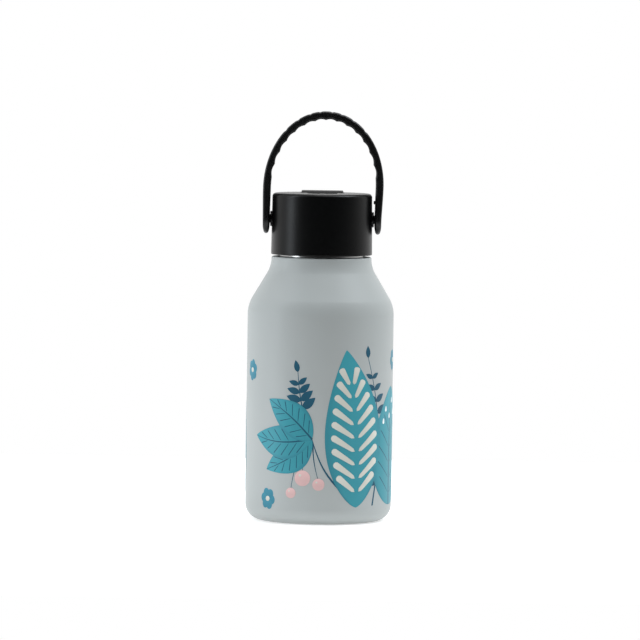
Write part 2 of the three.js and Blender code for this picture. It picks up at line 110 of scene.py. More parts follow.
class BottleShellSizes(bpy.types.PropertyGroup):
    """Sizes of the steel body"""

    shell_wall: length("Shell wall", "Steel thickness of the outer shell", 0.5 * MM)
    flask_wall: length("Flask wall", "Steel thickness of the inner flask", 0.4 * MM)
    foot_bend: length("Foot bend", "Radius of the rounded lower edge", 8 * MM)
    foot_band: length("Foot band", "Width of the flat ring the bottle stands on", 2.8 * MM)
    shoulder_height: length("Shoulder height", "Where the side's line meets the cone's line", 107.4 * MM)
    shoulder_angle: angle("Shoulder angle", "Lean of the cone from upright", 30.7)
    shoulder_bend: length("Shoulder bend", "Radius between side and cone", 15 * MM)
    neck_bend: length("Neck bend", "Radius between cone and neck", 13 * MM)
    neck_step: length("Neck step", "How much narrower the neck is than the lid", 0.25 * MM)
    collar_edge: length("Collar edge", "Rounding of the neck's upper edge", 0.8 * MM)
    lid_gap: length("Lid gap", "Between the neck's ledge and the lid", 1.0 * MM)
    mouth_radius: length("Mouth radius", "Inner radius of the mouth", 19.4 * MM)
    thread_height: length("Thread height", "How far the neck's thread stands out", 0.9 * MM)
    thread_lead: length("Thread lead", "Height gained in one turn", 4 * MM)
    thread_start: length("Thread start", "From the ledge to the middle of the first turn", 3.6 * MM)
    flask_floor_bend: length("Flask floor bend", "Radius at the flask's floor", 9 * MM)


class BottleLidSizes(bpy.types.PropertyGroup):
    """Sizes of the lid, spout and strap"""

    draft: length("Draft", "How much narrower the lid is at its top", 0.35 * MM)
    edge: length("Edge", "Rounding of the lid's upper edge", 1.9 * MM)
    wall: length("Wall", "Thickness of the lid's side", 1.9 * MM)
    top_wall: length("Top wall", "Thickness of the lid's top", 1.8 * MM)
    recess_wall: length("Recess wall", "Thickness of the recess in the lid", 1.4 * MM)
    recess_play: length("Recess play", "Room round the barrel and under the spout", 0.4 * MM)
    recess_lip: length("Recess lip", "Rounding of the recess's upper edge", 0.55 * MM)
    scoop_width: length("Scoop width", "Width of the finger recess", 14.4 * MM)
    scoop_lead: length("Scoop lead", "From the mouthpiece to the recess's front", 2.2 * MM)
    barrel_length: length("Barrel length", "Length of the spout's hinge barrel", 21 * MM)
    trunnion_radius: length("Trunnion radius", "Pins on the barrel's ends", 2.2 * MM)
    bore: length("Bore", "Radius of the drinking channel", 2.2 * MM)
    nozzle_radius: length("Nozzle radius", "Thick part of the spout next to its barrel", 4.9 * MM)
    stub_radius: length("Stub radius", "Thin part of the spout inside the mouthpiece", 3.2 * MM)
    pad_radius: length("Pad radius", "Round pad behind each end of the strap", 3.85 * MM)
    stud_radius: length("Stud radius", "Shank of the strap's studs", 2.2 * MM)
    head_radius: length("Stud head radius", "Head of the strap's studs", 3.4 * MM)
    stud_head: length("Stud head", "Thickness of the studs' heads", 1.2 * MM)
    barb_radius: length("Barb radius", "Barb that holds each stud in the lid", 2.9 * MM)
    stop_step: length("Stop step", "Step in the lid that the liner bears against", 0.75 * MM)
    ceiling_wall: length("Liner ceiling", "Thickness of the liner's top", 1.6 * MM)
    thread_play: length("Thread play", "Between a thread's crest and the wall it faces", 0.35 * MM)
    thread_seat: length("Thread seat", "How far the lid's turn lies under the neck's turn", 1.4 * MM)
    plug_clearance: length("Plug clearance", "Between the mouth and the liner's plug", 2.7 * MM)
    plug_depth: length("Plug depth", "How far the plug reaches into the mouth", 5.5 * MM)
    plug_wall: length("Plug wall", "Thickness of the plug", 1.5 * MM)
    plug_lip: length("Plug lip", "Ledge under the gasket", 1.0 * MM)
    seat_wall: length("Seat wall", "Thickness of the frame round the spout's seal", 1.2 * MM)
    spigot_radius: length("Spigot radius", "Spigot that the straw is pushed over", 2.9 * MM)
    spigot_reach: length("Spigot reach", "Below the liner's ceiling", 10 * MM)
    straw_wall: length("Straw wall", "Thickness of the straw", 0.7 * MM)
    vent_stem: length("Vent stem", "Radius of the air valve's stem", 1.2 * MM)
    drain_radius: length("Drain radius", "Small air and drain holes", 0.7 * MM)


class BottleStrapSizes(bpy.types.PropertyGroup):
    """Sizes of the carry strap"""

    thickness: length("Thickness", "Of the strap's legs", 3.9 * MM)
    crown: length("Crown thickness", "At the top of the arch", 4.3 * MM)
    width: length("Width", "Of the strap along its arch", 12 * MM)
    eye_radius: length("Eye radius", "Round end at each stud", 7.4 * MM)
    leg: length("Leg", "Straight stretch above the studs", 16 * MM)
    leg_taper: length("Leg taper", "How much thinner each leg gets towards its stud", 0.5 * MM)
    lean: length("Lean", "How far the soft arch leans to the right at its crown", 1.4 * MM)
    tip: length("Tip thickness", "At the lower end of each leg", 2.2 * MM)
    ridges: IntProperty(name="Grip hollows", description="Hollows along the inner side", default=14)
    hollow: length("Hollow depth", "Depth of each grip hollow", 0.6 * MM)
    notch: length("Notch depth", "Depth of the fine notches on the outer side", 0.32 * MM)


class BottleColours(bpy.types.PropertyGroup):
    """Colours of the bottle and its print"""

    coat: colour("Coat", "Powder coat of the shell", (0.393, 0.42, 0.415))
    steel: colour("Steel", "Bare stainless steel", (0.62, 0.62, 0.61))
    lid: colour("Lid", "Black moulded plastic", (0.0011, 0.0012, 0.0013))
    strap: colour("Strap", "Black soft-touch rubber", (0.0014, 0.0015, 0.0015))
    silicone: colour("Silicone", "Milky seals", (0.72, 0.73, 0.72))
    straw: colour("Straw", "Milky plastic", (0.78, 0.8, 0.8))
    leaf: colour("Leaf", "Main ink of the leaves", (0.034, 0.262, 0.318))
    leaf_edge: colour("Leaf edge", "Ink along the leaves' outline", (0.03, 0.2, 0.26))
    frond: colour("Frond", "Dark ink of stems and fronds", (0.008, 0.075, 0.125))
    cream: colour("Cream", "Ink of the veins", (0.57, 0.57, 0.51))
    berry: colour("Berry", "Pink ink of the berries", (0.64, 0.42, 0.41))
    sprig: colour("Sprig", "Blue ink of the small sprigs", (0.026, 0.2, 0.28))
    dew: colour("Dew", "White ink of the drops", (0.78, 0.82, 0.82))


class BottleStageSizes(bpy.types.PropertyGroup):
    """The camera, the floor and the studio light"""

    distance: length("Camera distance", "From the bottle's axis to the camera", 2.45)
    height: length("Camera height", "Above the floor", 0.235)
    aim: length("Aim", "Height on the bottle's axis that the camera faces", 99.9 * MM)
    slide: length("Slide", "How far the view is moved to the left", 0.32 * MM)
    span: length("Span", "Width of the view at the bottle", 320 * MM)
    roll: angle("Roll", "Tilt of the camera about its view", 0.8)
    floor_size: length("Floor size", "Side of the square floor", 0.72)


# ---- Modelling helpers --------------------------------------------------------------------------
def rounded(bm, geom, affect, bend, segments):
    """Round some vertices or edges."""
    bmesh.ops.bevel(
        bm,
        geom=geom,
        offset=bend,
        offset_type="OFFSET",
        affect=affect,
        segments=segments,
        profile=0.5,
        material=-1,
    )


def chain(bm, corners, closed=False, arc=math.radians(9)):
    """Edges through corners (x, z, bend) at y = 0, each corner rounded to its bend."""
    verts = [bm.verts.new((x, 0, z)) for x, z, _ in corners]
    edges = [bm.edges.new(pair) for pair in zip(verts, verts[1:])]
    if closed:
        edges.append(bm.edges.new((verts[-1], verts[0])))
    for vert, (_, _, bend) in zip(verts, corners):
        if not bend:
            continue
        ahead, back = (edge.other_vert(vert).co - vert.co for edge in vert.link_edges)
        half = ahead.angle(back) / 2
        turn = math.pi - 2 * half
        rounded(bm, [vert], "VERTICES", bend / math.tan(half), max(3, math.ceil(turn / arc)))
    return bm


def spin(bm, geom, steps, angle=FULL_TURN, climb=0.0):
    """Turn a profile about Z; a climb makes it a screw."""
    bmesh.ops.spin(
        bm,
        geom=geom,
        cent=(0, 0, 0),
        axis=(0, 0, 1),
        dvec=(0, 0, climb),
        angle=angle,
        steps=steps,
        use_merge=climb == 0,
        use_duplicate=False,
    )


def close_up(bm):
    bmesh.ops.remove_doubles(bm, verts=bm.verts, dist=1e-6)
    bmesh.ops.dissolve_degenerate(bm, edges=bm.edges, dist=1e-7)
    bmesh.ops.recalc_face_normals(bm, faces=bm.faces)
    return bm


def turned(corners, steps=128, on_axis=False):
    """A closed profile of (radius, height, bend) turned about Z."""
    bm = chain(bmesh.new(), corners, closed=not on_axis)
    spin(bm, bm.verts[:] + bm.edges[:], steps)
    return close_up(bm)


def block(low, high, bend=0.0, segments=3):
    """A box between two corners with its upright edges rounded."""
    bm = bmesh.new()
    size = Vector(high) - Vector(low)
    middle = (Vector(high) + Vector(low)) / 2
    bmesh.ops.create_cube(bm, size=1, matrix=Matrix.Translation(middle) @ Matrix.Diagonal((*size, 1)))
    if bend:
        upright = [e for e in bm.edges if abs(e.verts[0].co.z - e.verts[1].co.z) > size.z / 2]
        rounded(bm, upright, "EDGES", bend, segments)
    return bm


def placed(bm, place, about, quarter_turns):
    """Turn a shape about an axis, then move it to its place."""
    turn = Matrix.Rotation(quarter_turns * math.pi / 2, 4, about)
    bmesh.ops.transform(bm, matrix=Matrix.Translation(place) @ turn, verts=bm.verts)
    return bm


def rod(radius, start, end, steps=48, edge=0.0):
    """A round bar from start to end, with its ends' edges rounded."""
    start, end = Vector(start), Vector(end)
    reach = (end - start).length
    corners = [(0, 0, 0), (radius, 0, edge), (radius, reach, edge), (0, reach, 0)]
    bm = turned(corners, steps, on_axis=True)
    turn = Vector((0, 0, 1)).rotation_difference((end - start).normalized()).to_matrix().to_4x4()
    bmesh.ops.transform(bm, matrix=Matrix.Translation(start) @ turn, verts=bm.verts)
    return bm


def mesh_object(name, bm):
    mesh = bpy.data.meshes.new(name)
    bm.to_mesh(mesh)
    bm.free()
    obj = bpy.data.objects.new(name, mesh)
    bpy.context.scene.collection.objects.link(obj)
    return obj


def combine(obj, bm, operation):
    """Join a shape to a piece, or cut it from the piece."""
    tool = mesh_object("tool", bm)
    modifier = obj.modifiers.new("combine", "BOOLEAN")
    modifier.operation = operation
    modifier.solver = "EXACT"
    modifier.object = tool
    graph = bpy.context.evaluated_depsgraph_get()
    mesh = bpy.data.meshes.new_from_object(obj.evaluated_get(graph))
    obj.modifiers.clear()
    old = obj.data
    obj.data = mesh
    bpy.data.meshes.remove(old)
    bpy.data.objects.remove(tool)


def join(obj, bm):
    combine(obj, bm, "UNION")


def cut(obj, bm):
    combine(obj, bm, "DIFFERENCE")


def complete(obj, body, materials, nodes=(), sharp=30.0):
    """Give a piece its shading, materials and place in the bottle."""
    mesh = obj.data
    bm = bmesh.new()
    bm.from_mesh(mesh)
    bmesh.ops.remove_doubles(bm, verts=bm.verts, dist=2e-6)
    bmesh.ops.dissolve_degenerate(bm, edges=bm.edges, dist=1e-6)
    bm.to_mesh(mesh)
    bm.free()
    mesh.shade_smooth()
    mesh.set_sharp_from_angle(angle=math.radians(sharp))
    mesh.materials.clear()
    for material in materials:
        mesh.materials.append(material)
    weigh = obj.modifiers.new("even_normals", "WEIGHTED_NORMAL")
    weigh.keep_sharp = True
    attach(obj, body)
    if nodes:
        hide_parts(*nodes)


# ---- Shader helpers -----------------------------------------------------------------------------
def feed(tree, target, value):
    """Link an output to an input, or give the input a constant."""
    if isinstance(value, bpy.types.NodeSocket):
        tree.links.new(value, target)
    else:
        target.default_value = value


def add(tree, kind, inputs=(), **settings):
    """Add a node with its settings, then feed its inputs."""
    node = tree.nodes.new("ShaderNode" + kind)
    for name, value in settings.items():
        setattr(node, name, value)
    for name, value in dict(inputs).items():
        feed(tree, node.inputs[name], value)
    return node


def new_group(name, inputs, outputs):
    """A node group of plain values: its tree, and the sockets inside it that bring and take them."""
    tree = bpy.data.node_groups.new(name, "ShaderNodeTree")
    for label, default in inputs.items():
        made = tree.interface.new_socket(name=label, in_out="INPUT", socket_type="NodeSocketFloat")
        made.default_value = default
    for label in outputs:
        tree.interface.new_socket(name=label, in_out="OUTPUT", socket_type="NodeSocketFloat")
    return tree, tree.nodes.new("NodeGroupInput").outputs, tree.nodes.new("NodeGroupOutput").inputs


def grain_group():
    """Fine moulded grain with broad unevenness: both as values from 0 to 1."""
    name = "surface_grain"
    if name in bpy.data.node_groups:
        return bpy.data.node_groups[name]
    scales = {"Grain per metre": 3000, "Patches per metre": 40}
    tree, given, wanted = new_group(name, scales, ("Fine", "Broad"))
    place = add(tree, "TexCoord").outputs["Object"]
    for scale, detail, rough, result in (
        ("Grain per metre", 2.0, 0.6, "Fine"),
        ("Patches per metre", 4.0, 0.55, "Broad"),
    ):
        noise = {"Vector": place, "Scale": given[scale], "Detail": detail, "Roughness": rough}
        feed(tree, wanted[result], add(tree, "TexNoise", noise).outputs["Fac"])
    return tree


def brush_group():
    """Fine lines left by turning about the bottle's axis: rings on flats, hoops on walls."""
    name = "turned_brush"
    if name in bpy.data.node_groups:
        return bpy.data.node_groups[name]
    tree, given, wanted = new_group(name, {"Lines per metre": 5000}, ("Lines",))
    place = add(tree, "TexCoord").outputs["Object"]
    flat = add(tree, "VectorMath", {0: place, 1: (1, 1, 0)}, operation="MULTIPLY")
    reach = add(tree, "VectorMath", {0: flat.outputs["Vector"]}, operation="LENGTH")
    parts = add(tree, "SeparateXYZ", {"Vector": place}).outputs
    around = add(tree, "Math", {0: parts["Y"], 1: parts["X"]}, operation="ARCTAN2")
    finer = [
        add(tree, "Math", {0: way, 1: given["Lines per metre"]}, operation="MULTIPLY").outputs[0]
        for way in (reach.outputs["Value"], parts["Z"])
    ]
    stretched = add(tree, "CombineXYZ", {"X": finer[0], "Y": finer[1], "Z": around.outputs[0]})
    lines = add(tree, "TexNoise", {"Vector": stretched.outputs["Vector"], "Scale": 1.0, "Detail": 3.0})
    feed(tree, wanted["Lines"], lines.outputs["Fac"])
    return tree


def finish(
    name, base, rough, *, grain=3000, depth=0.0, rough_play=0.05, tone_play=0.04, metal=0.0, lines=0, **fixed
):
    """A Principled material whose grain, roughness and tone vary over the surface."""
    material = bpy.data.materials.new(name)
    material.use_nodes = True
    tree = material.node_tree
    shader = tree.nodes["Principled BSDF"].inputs
    shader["Metallic"].default_value = metal
    for label, value in fixed.items():
        shader[label.replace("_", " ")].default_value = value

    worn = add(tree, "Group", {"Grain per metre": grain}, node_tree=grain_group()).outputs
    relief, wear = worn["Fine"], worn["Broad"]
    dark, light = ((*[min(1, v * (1 + play)) for v in base], 1) for play in (-tone_play, tone_play))
    tone = add(tree, "Mix", {"Factor": wear, "A": dark, "B": light}, data_type="RGBA")
    feed(tree, shader["Base Color"], tone.outputs["Result"])

    if lines:
        brushed = add(tree, "Group", {"Lines per metre": lines}, node_tree=brush_group())
        relief = wear = brushed.outputs["Lines"]
    rub = add(tree, "MapRange", {"Value": wear, "To Min": rough - rough_play, "To Max": rough + rough_play})
    feed(tree, shader["Roughness"], rub.outputs["Result"])
    if depth:
        bump = add(tree, "Bump", {"Strength": 1.0, "Distance": depth, "Height": relief})
        feed(tree, shader["Normal"], bump.outputs["Normal"])
    return material


# Each finish: its colour's name, how much paler than that it is, its roughness, and the rest.
FINISHES = {
    "powder_coat": (
        "coat", 1, 0.5, dict(grain=1600, depth=0.012 * MM, tone_play=0.02, Specular_IOR_Level=0.45)
    ),
    "brushed_steel": ("steel", 1, 0.3, dict(rough_play=0.12, depth=0.01 * MM, metal=1.0, lines=3500)),
    "moulded_black": (
        "lid", 1, 0.34, dict(grain=1900, depth=0.03 * MM, rough_play=0.04, Specular_IOR_Level=0.2)
    ),
    "liner_black": ("lid", 6, 0.35, dict(grain=1500, depth=0.005 * MM)),
    "mouthpiece_black": ("lid", 6, 0.5, dict(grain=3000, depth=0.006 * MM)),
    "soft_black": ("strap", 1, 0.4, dict(grain=2500, depth=0.005 * MM, Specular_IOR_Level=0.36)),
    "milky_silicone": ("silicone", 1, 0.45, dict(grain=2000, depth=0.004 * MM, Subsurface_Weight=0.2)),
    "milky_straw": ("straw", 1, 0.35, dict(grain=1200, depth=0.004 * MM, Subsurface_Weight=0.1)),
}


def surface(context, name):
    """One of the bottle's finishes, made when it is first asked for."""
    if name in bpy.data.materials:
        return bpy.data.materials[name]
    tint, paler, rough, rest = FINISHES[name]
    return finish(name, [paler * v for v in getattr(context.scene.bottle_colours, tint)], rough, **rest)


# ---- Steel body ---------------------------------------------------------------------------------
def tube_radius(s):
    """Outer radius of the threaded neck."""
    return s.mouth_radius + s.flask_wall + FIT + s.shell_wall


def shell_corners(s, depth):
    """The outer shell's profile at a depth below its surface, from the foot to the top of the neck."""
    neck = LID_RADIUS - s.neck_step
    ledge = LID_FOOT - s.lid_gap
    tube = tube_radius(s)
    cone_top = s.shoulder_height + (BODY_RADIUS - neck) / math.tan(s.shoulder_angle)
    drop = depth * math.tan(s.shoulder_angle / 2)
    corner = 0.2 * MM
    return [
        (BODY_RADIUS - s.foot_bend - s.foot_band, depth, 0),
        (BODY_RADIUS - depth, depth, s.foot_bend - depth),
        (BODY_RADIUS - depth, s.shoulder_height - drop, s.shoulder_bend - depth),
        (neck - depth, cone_top - drop, s.neck_bend + depth),
        (neck - depth, ledge - depth, max(s.collar_edge - depth, corner)),
        (tube - depth, ledge - depth, corner + depth / 2),
        (tube - depth, SHELL_HIGH[2], 0),
    ]


def bridged(bm, test):
    """Close the wall between the open rings that pass the test."""
    rings = [e for e in bm.edges if e.is_boundary and all(test(v.co) for v in e.verts)]
    bmesh.ops.bridge_loops(bm, edges=rings)


def thread_ridge(radius, height, side, middle, lead):
    """A screw ridge on a wall, outwards (side 1) or inwards (side -1), fading at both ends."""
    turns, per_turn = 1.5, 128
    root, crest, bite = 1.8 * MM, 0.8 * MM, 0.2 * MM
    fade = FULL_TURN / 16
    inner = radius - side * bite
    outer = radius + side * height
    corners = [(inner, -root / 2), (outer, -crest / 2), (outer, crest / 2), (inner, root / 2)]
    bm = bmesh.new()
    section = bm.faces.new([bm.verts.new((x, 0, middle + z)) for x, z in corners])
    geom = [section, *section.edges, *section.verts]
    spin(bm, geom, int(turns * per_turn), angle=turns * FULL_TURN, climb=lead / per_turn)
    for vert in bm.verts:
        r = math.hypot(vert.co.x, vert.co.y)
        if abs(r - inner) < 0.1 * bite:
            continue
        swept = (vert.co.z - middle) / lead * FULL_TURN
        grow = max(0.0, min(1.0, swept / fade, (turns * FULL_TURN - swept) / fade))
        grow = math.sin(grow * math.pi / 2)
        new = radius - side * bite / 2 + side * (height + bite / 2) * grow
        vert.co.x *= new / r
        vert.co.y *= new / r
    bmesh.ops.recalc_face_normals(bm, faces=bm.faces)
    return bm


class BOTTLE_OT_shell(bpy.types.Operator):
    """Make the coated outer shell with its threaded steel neck"""

    bl_idname = "bottle.shell"
    bl_label = "Outer shell"

    def execute(self, context):
        s = context.scene.bottle_shell
        steps = 160
        ledge = LID_FOOT - s.lid_gap
        bm = chain(bmesh.new(), shell_corners(s, 0), arc=math.radians(5))
        spin(bm, bm.verts[:] + bm.edges[:], steps)
        outside = set(bm.verts)
        chain(bm, shell_corners(s, s.shell_wall))
        inside = [v for v in bm.verts if v not in outside]
        edges = {e for v in inside for e in v.link_edges}
        spin(bm, inside + list(edges), steps)
        bridged(bm, lambda p: p.z > ledge)
        bridged(bm, lambda p: p.z < ledge)
        shell = mesh_object("coated_shell", close_up(bm))
        join(shell, thread_ridge(tube_radius(s), s.thread_height, 1, ledge + s.thread_start, s.thread_lead))
        metals = [surface(context, "powder_coat"), surface(context, "brushed_steel")]
        complete(shell, "bottle", metals, ["outer_shell"], sharp=40)
        # The inside and the neck above the ledge are bare steel.
        bare_above = ledge + 0.02 * MM
        for face in shell.data.polygons:
            inward = face.center.xy.dot(face.normal.xy) < -1e-5
            face.material_index = int(inward or face.center.z > bare_above)
        return {"FINISHED"}


class BOTTLE_OT_flask(bpy.types.Operator):
    """Make the inner flask, the vacuum base and what seals it"""

    bl_idname = "bottle.flask"
    bl_label = "Flask and base"

    def flask_corners(self, s, depth):
        """The flask's profile at a depth below its surface, from the axis up to the neck."""
        radius, low = FLASK_HIGH[0], FLASK_LOW[2]
        vacuum_gap = BODY_RADIUS - s.shell_wall - radius
        neck = s.mouth_radius + s.flask_wall
        cone = s.shoulder_height - (s.shell_wall + vacuum_gap + depth) * math.tan(s.shoulder_angle / 2)
        cone_end = cone + (radius - neck) / math.tan(s.shoulder_angle)
        throat_bend = 8 * MM
        return [
            (0, low + depth, 0),
            (radius - depth, low + depth, s.flask_floor_bend - depth),
            (radius - depth, cone, s.shoulder_bend - depth),
            (neck - depth, cone_end, throat_bend + depth),
        ]

    def cup_corners(self, s, depth):
        """The vacuum base's profile, with its raised middle and a dimple round the pump-out hole."""
        edge, high, low = CUP_HIGH[0], CUP_HIGH[2], CUP_LOW[2] + depth
        foot_inner = BODY_RADIUS - s.foot_bend - s.foot_band
        rise, dimple, hole = 2.6 * MM, 1.0 * MM, 0.9 * MM
        return [
            (edge - depth, high, 0),
            (edge - depth, low, edge - foot_inner - s.foot_band - depth + 0.3 * MM),
            (foot_inner + 0.6 * MM, low, 0.8 * MM),
            (foot_inner - 2 * MM, low + rise, 0.8 * MM),
            (3 * hole, low + rise, 0.4 * MM),
            (hole, low + rise + dimple, 0),
        ]

    def cover_corners(self, z):
        """The base cover's profile: a flat ring round a shallow dish."""
        edge, dish, bend = COVER_HIGH[0], 0.8 * MM, 1.5 * MM
        return [(edge, z, 0), (edge - 4 * MM, z, bend), (edge - 5.5 * MM, z + dish, bend), (0, z + dish, 0)]

    def execute(self, context):
        s = context.scene.bottle_shell
        steel = [surface(context, "brushed_steel")]
        neck, tube = s.mouth_radius + s.flask_wall, tube_radius(s)
        lip = s.flask_wall / 2.2
        corners = [
            *self.flask_corners(s, 0),
            (neck, RIM - s.flask_wall, 0),
            (tube, RIM - s.flask_wall, lip),
            (tube, RIM, lip),
            (s.mouth_radius, RIM, 2 * lip),
            *self.flask_corners(s, s.flask_wall)[::-1],
        ]
        flask = mesh_object("steel_flask", turned(corners, on_axis=True))
        complete(flask, "bottle", steel, ["inner_flask"])

        corners = self.cup_corners(s, 0) + self.cup_corners(s, s.shell_wall)[::-1]
        complete(mesh_object("base_cup", turned(corners)), "bottle", steel, ["vacuum_base"])

        low, wall = COVER_LOW[2], 0.6 * MM
        corners = self.cover_corners(low) + self.cover_corners(low + wall)[::-1]
        complete(mesh_object("base_plate", turned(corners)), "bottle", steel, ["base_cover"])

        top, low = BEAD_HIGH[2], BEAD_LOW[2]
        waist = low + 0.4 * (top - low)
        corners = [(0, low, 0), (BEAD_HIGH[0], waist, 0.6 * MM), (0.8 * MM, top, 0.4 * MM), (0, top, 0)]
        bead = mesh_object("pump_out_bead", turned(corners, steps=32, on_axis=True))
        complete(bead, "bottle", steel, ["seal_bead"])

        top, low = GETTER_HIGH[2], GETTER_LOW[2]
        radius = (GETTER_HIGH[0] - GETTER_LOW[0]) / 2
        corners = [(0, low, 0), (radius, low, 0.3 * MM), (radius, top, 0.5 * MM), (0, top, 0)]
        pill = turned(corners, steps=48, on_axis=True)
        bmesh.ops.translate(pill, verts=pill.verts, vec=(GETTER_LOW[0] + radius, 0, 0))
        powder = finish("getter_powder", (0.13, 0.125, 0.12), 0.8, grain=4000, depth=0.03 * MM, metal=0.6)
        complete(mesh_object("getter_pill", pill), "bottle", [powder], ["getter"])
        return {"FINISHED"}


# ---- Print --------------------------------------------------------------------------------------
INK = 0.04 * MM  # height of one layer of ink
SINK = 0.04 * MM  # how far a layer's underside lies in the coat


# Outlines: how wide a shape is, as a share of its width, at t from its root (0) to its tip (1).
def leaf_width(t):
    return math.sin(math.pi * t**0.8) ** 0.85


def full_width(t):
    return math.sin(math.pi * t**0.75) ** 0.62


def stem_width(t):
    return 1 - 0.7 * t


def round_width(t):
    return math.sqrt(max(0.0, 1 - (2 * t - 1) ** 2))


def drop_width(t):
    return 1.25 * math.sqrt(t) * math.sqrt(max(0.0, 1 - t**3))


def stripe_width(t):
    end = 0.12
    start = math.sin(math.pi / 2 * min(1, t / end))
    stop = math.sqrt(max(0.0, 1 - max(0.0, (t - 1 + end) / end) ** 2))
    return (0.5 + 0.5 * t) * start * stop


class Stem:
    """The middle line of a shape from root to tip, bowed to the left of the way up by its sway."""

    def __init__(self, root, tip, sway=0.0):
        self.root = Vector(root)
        self.way = Vector(tip) - self.root
        self.side = Vector((-self.way.y, self.way.x)).normalized()
        self.sway = sway

    def at(self, t):
        return self.root + self.way * t + self.side * self.sway * math.sin(math.pi * t)


class Ink:
    """One colour of the print: flat shapes on the unrolled shell, then wrapped round it.

    A place is (across, up) in millimetres, from the middle of the front and from the floor.
    """

    def __init__(self, name, layer):
        self.name = name
        self.layer = layer
        self.bm = bmesh.new()
        self.uv = self.bm.loops.layers.uv.new("shape")
        self.lift = self.bm.verts.layers.float.new("lift")

    def patch(self, root, tip, width, outline=leaf_width, sway=0.0, along=20, across=6, lift=0.0):
        """A shape from root to tip, lifted by a share of a layer over its neighbours."""
        stem = Stem(root, tip, sway)
        made = bmesh.ops.create_grid(self.bm, x_segments=across, y_segments=along, size=1, calc_uvs=False)
        corners = {}
        for vert in made["verts"]:
            s, t = vert.co.x, (1 - math.cos(math.pi * (vert.co.y + 1) / 2)) / 2
            flat = stem.at(t) - stem.side * (s * outline(t) * width / 2)
            vert.co = (flat.x * MM, 0, flat.y * MM)
            vert[self.lift] = lift
            corners[vert] = (0.5 + s / 2, t)
        for face in {f for vert in made["verts"] for f in vert.link_faces}:
            for loop in face.loops:
                loop[self.uv].uv = corners[loop.vert]

    def line(self, root, tip, width, sway=0.0, along=28, lift=0.0):
        """A stem or a rib, thinner towards its tip."""
        self.patch(root, tip, width, stem_width, sway, along, across=2, lift=lift)

    def dot(self, centre, radius, lift=0.0):
        x, z = centre
        ends = (x, z - radius), (x, z + radius)
        self.patch(*ends, 2 * radius, round_width, along=14, across=6 if radius > 1 else 4, lift=lift)

    def lay(self, foot_bend):
        """Give the ink its thickness and wrap it round the shell."""
        bm = self.bm
        bmesh.ops.remove_doubles(bm, verts=bm.verts, dist=2e-6)
        bmesh.ops.dissolve_degenerate(bm, edges=bm.edges, dist=1e-6)
        lower = bmesh.ops.extrude_face_region(bm, geom=bm.faces[:], use_keep_orig=True)["geom"]
        lower = {g for g in lower if isinstance(g, bmesh.types.BMVert)}
        for vert in bm.verts:
            dip = max(0.0, foot_bend - vert.co.z)
            radius = BODY_RADIUS - foot_bend + math.sqrt(foot_bend**2 - dip**2)
            radius += -SINK if vert in lower else (self.layer + vert[self.lift]) * INK
            angle = vert.co.x / BODY_RADIUS
            vert.co = (radius * math.sin(angle), -radius * math.cos(angle), vert.co.z)
        bmesh.ops.recalc_face_normals(bm, faces=bm.faces)
        return mesh_object(self.name, bm)


def ink_material(name, ink, edge=None):
    """Printed ink, paler towards a shape's tip and darker along its outline."""
    material = finish(name, ink, 0.42, grain=2200, depth=0.006 * MM, tone_play=0.03, Specular_IOR_Level=0.3)
    tree = material.node_tree
    base = tree.nodes["Principled BSDF"].inputs["Base Color"]
    plain = base.links[0].from_socket
    shape = add(tree, "UVMap", uv_map="shape")
    parts = add(tree, "SeparateXYZ", {"Vector": shape.outputs["UV"]}).outputs
    across = add(tree, "Math", {0: parts["X"], 1: 0.5}, operation="SUBTRACT")
    far = add(tree, "Math", {0: across.outputs[0]}, operation="ABSOLUTE")
    rim_range = {"Value": far.outputs[0], "From Min": 0.36, "From Max": 0.5, "To Max": 0.75}
    rim = add(tree, "MapRange", rim_range, interpolation_type="SMOOTHSTEP")
    tinting = {"Factor": rim.outputs["Result"], "A": plain, "B": (*(edge or ink), 1)}
    tinted = add(tree, "Mix", tinting, data_type="RGBA")
    tipward = add(tree, "MapRange", {"Value": parts["Y"], "From Min": 0.35, "To Max": 0.55})
    paler = (*[min(1, 1.3 * v + 0.006) for v in ink], 1)
    paling = {"Factor": tipward.outputs["Result"], "A": tinted.outputs["Result"], "B": paler}
    feed(tree, base, add(tree, "Mix", paling, data_type="RGBA").outputs["Result"])
    return material


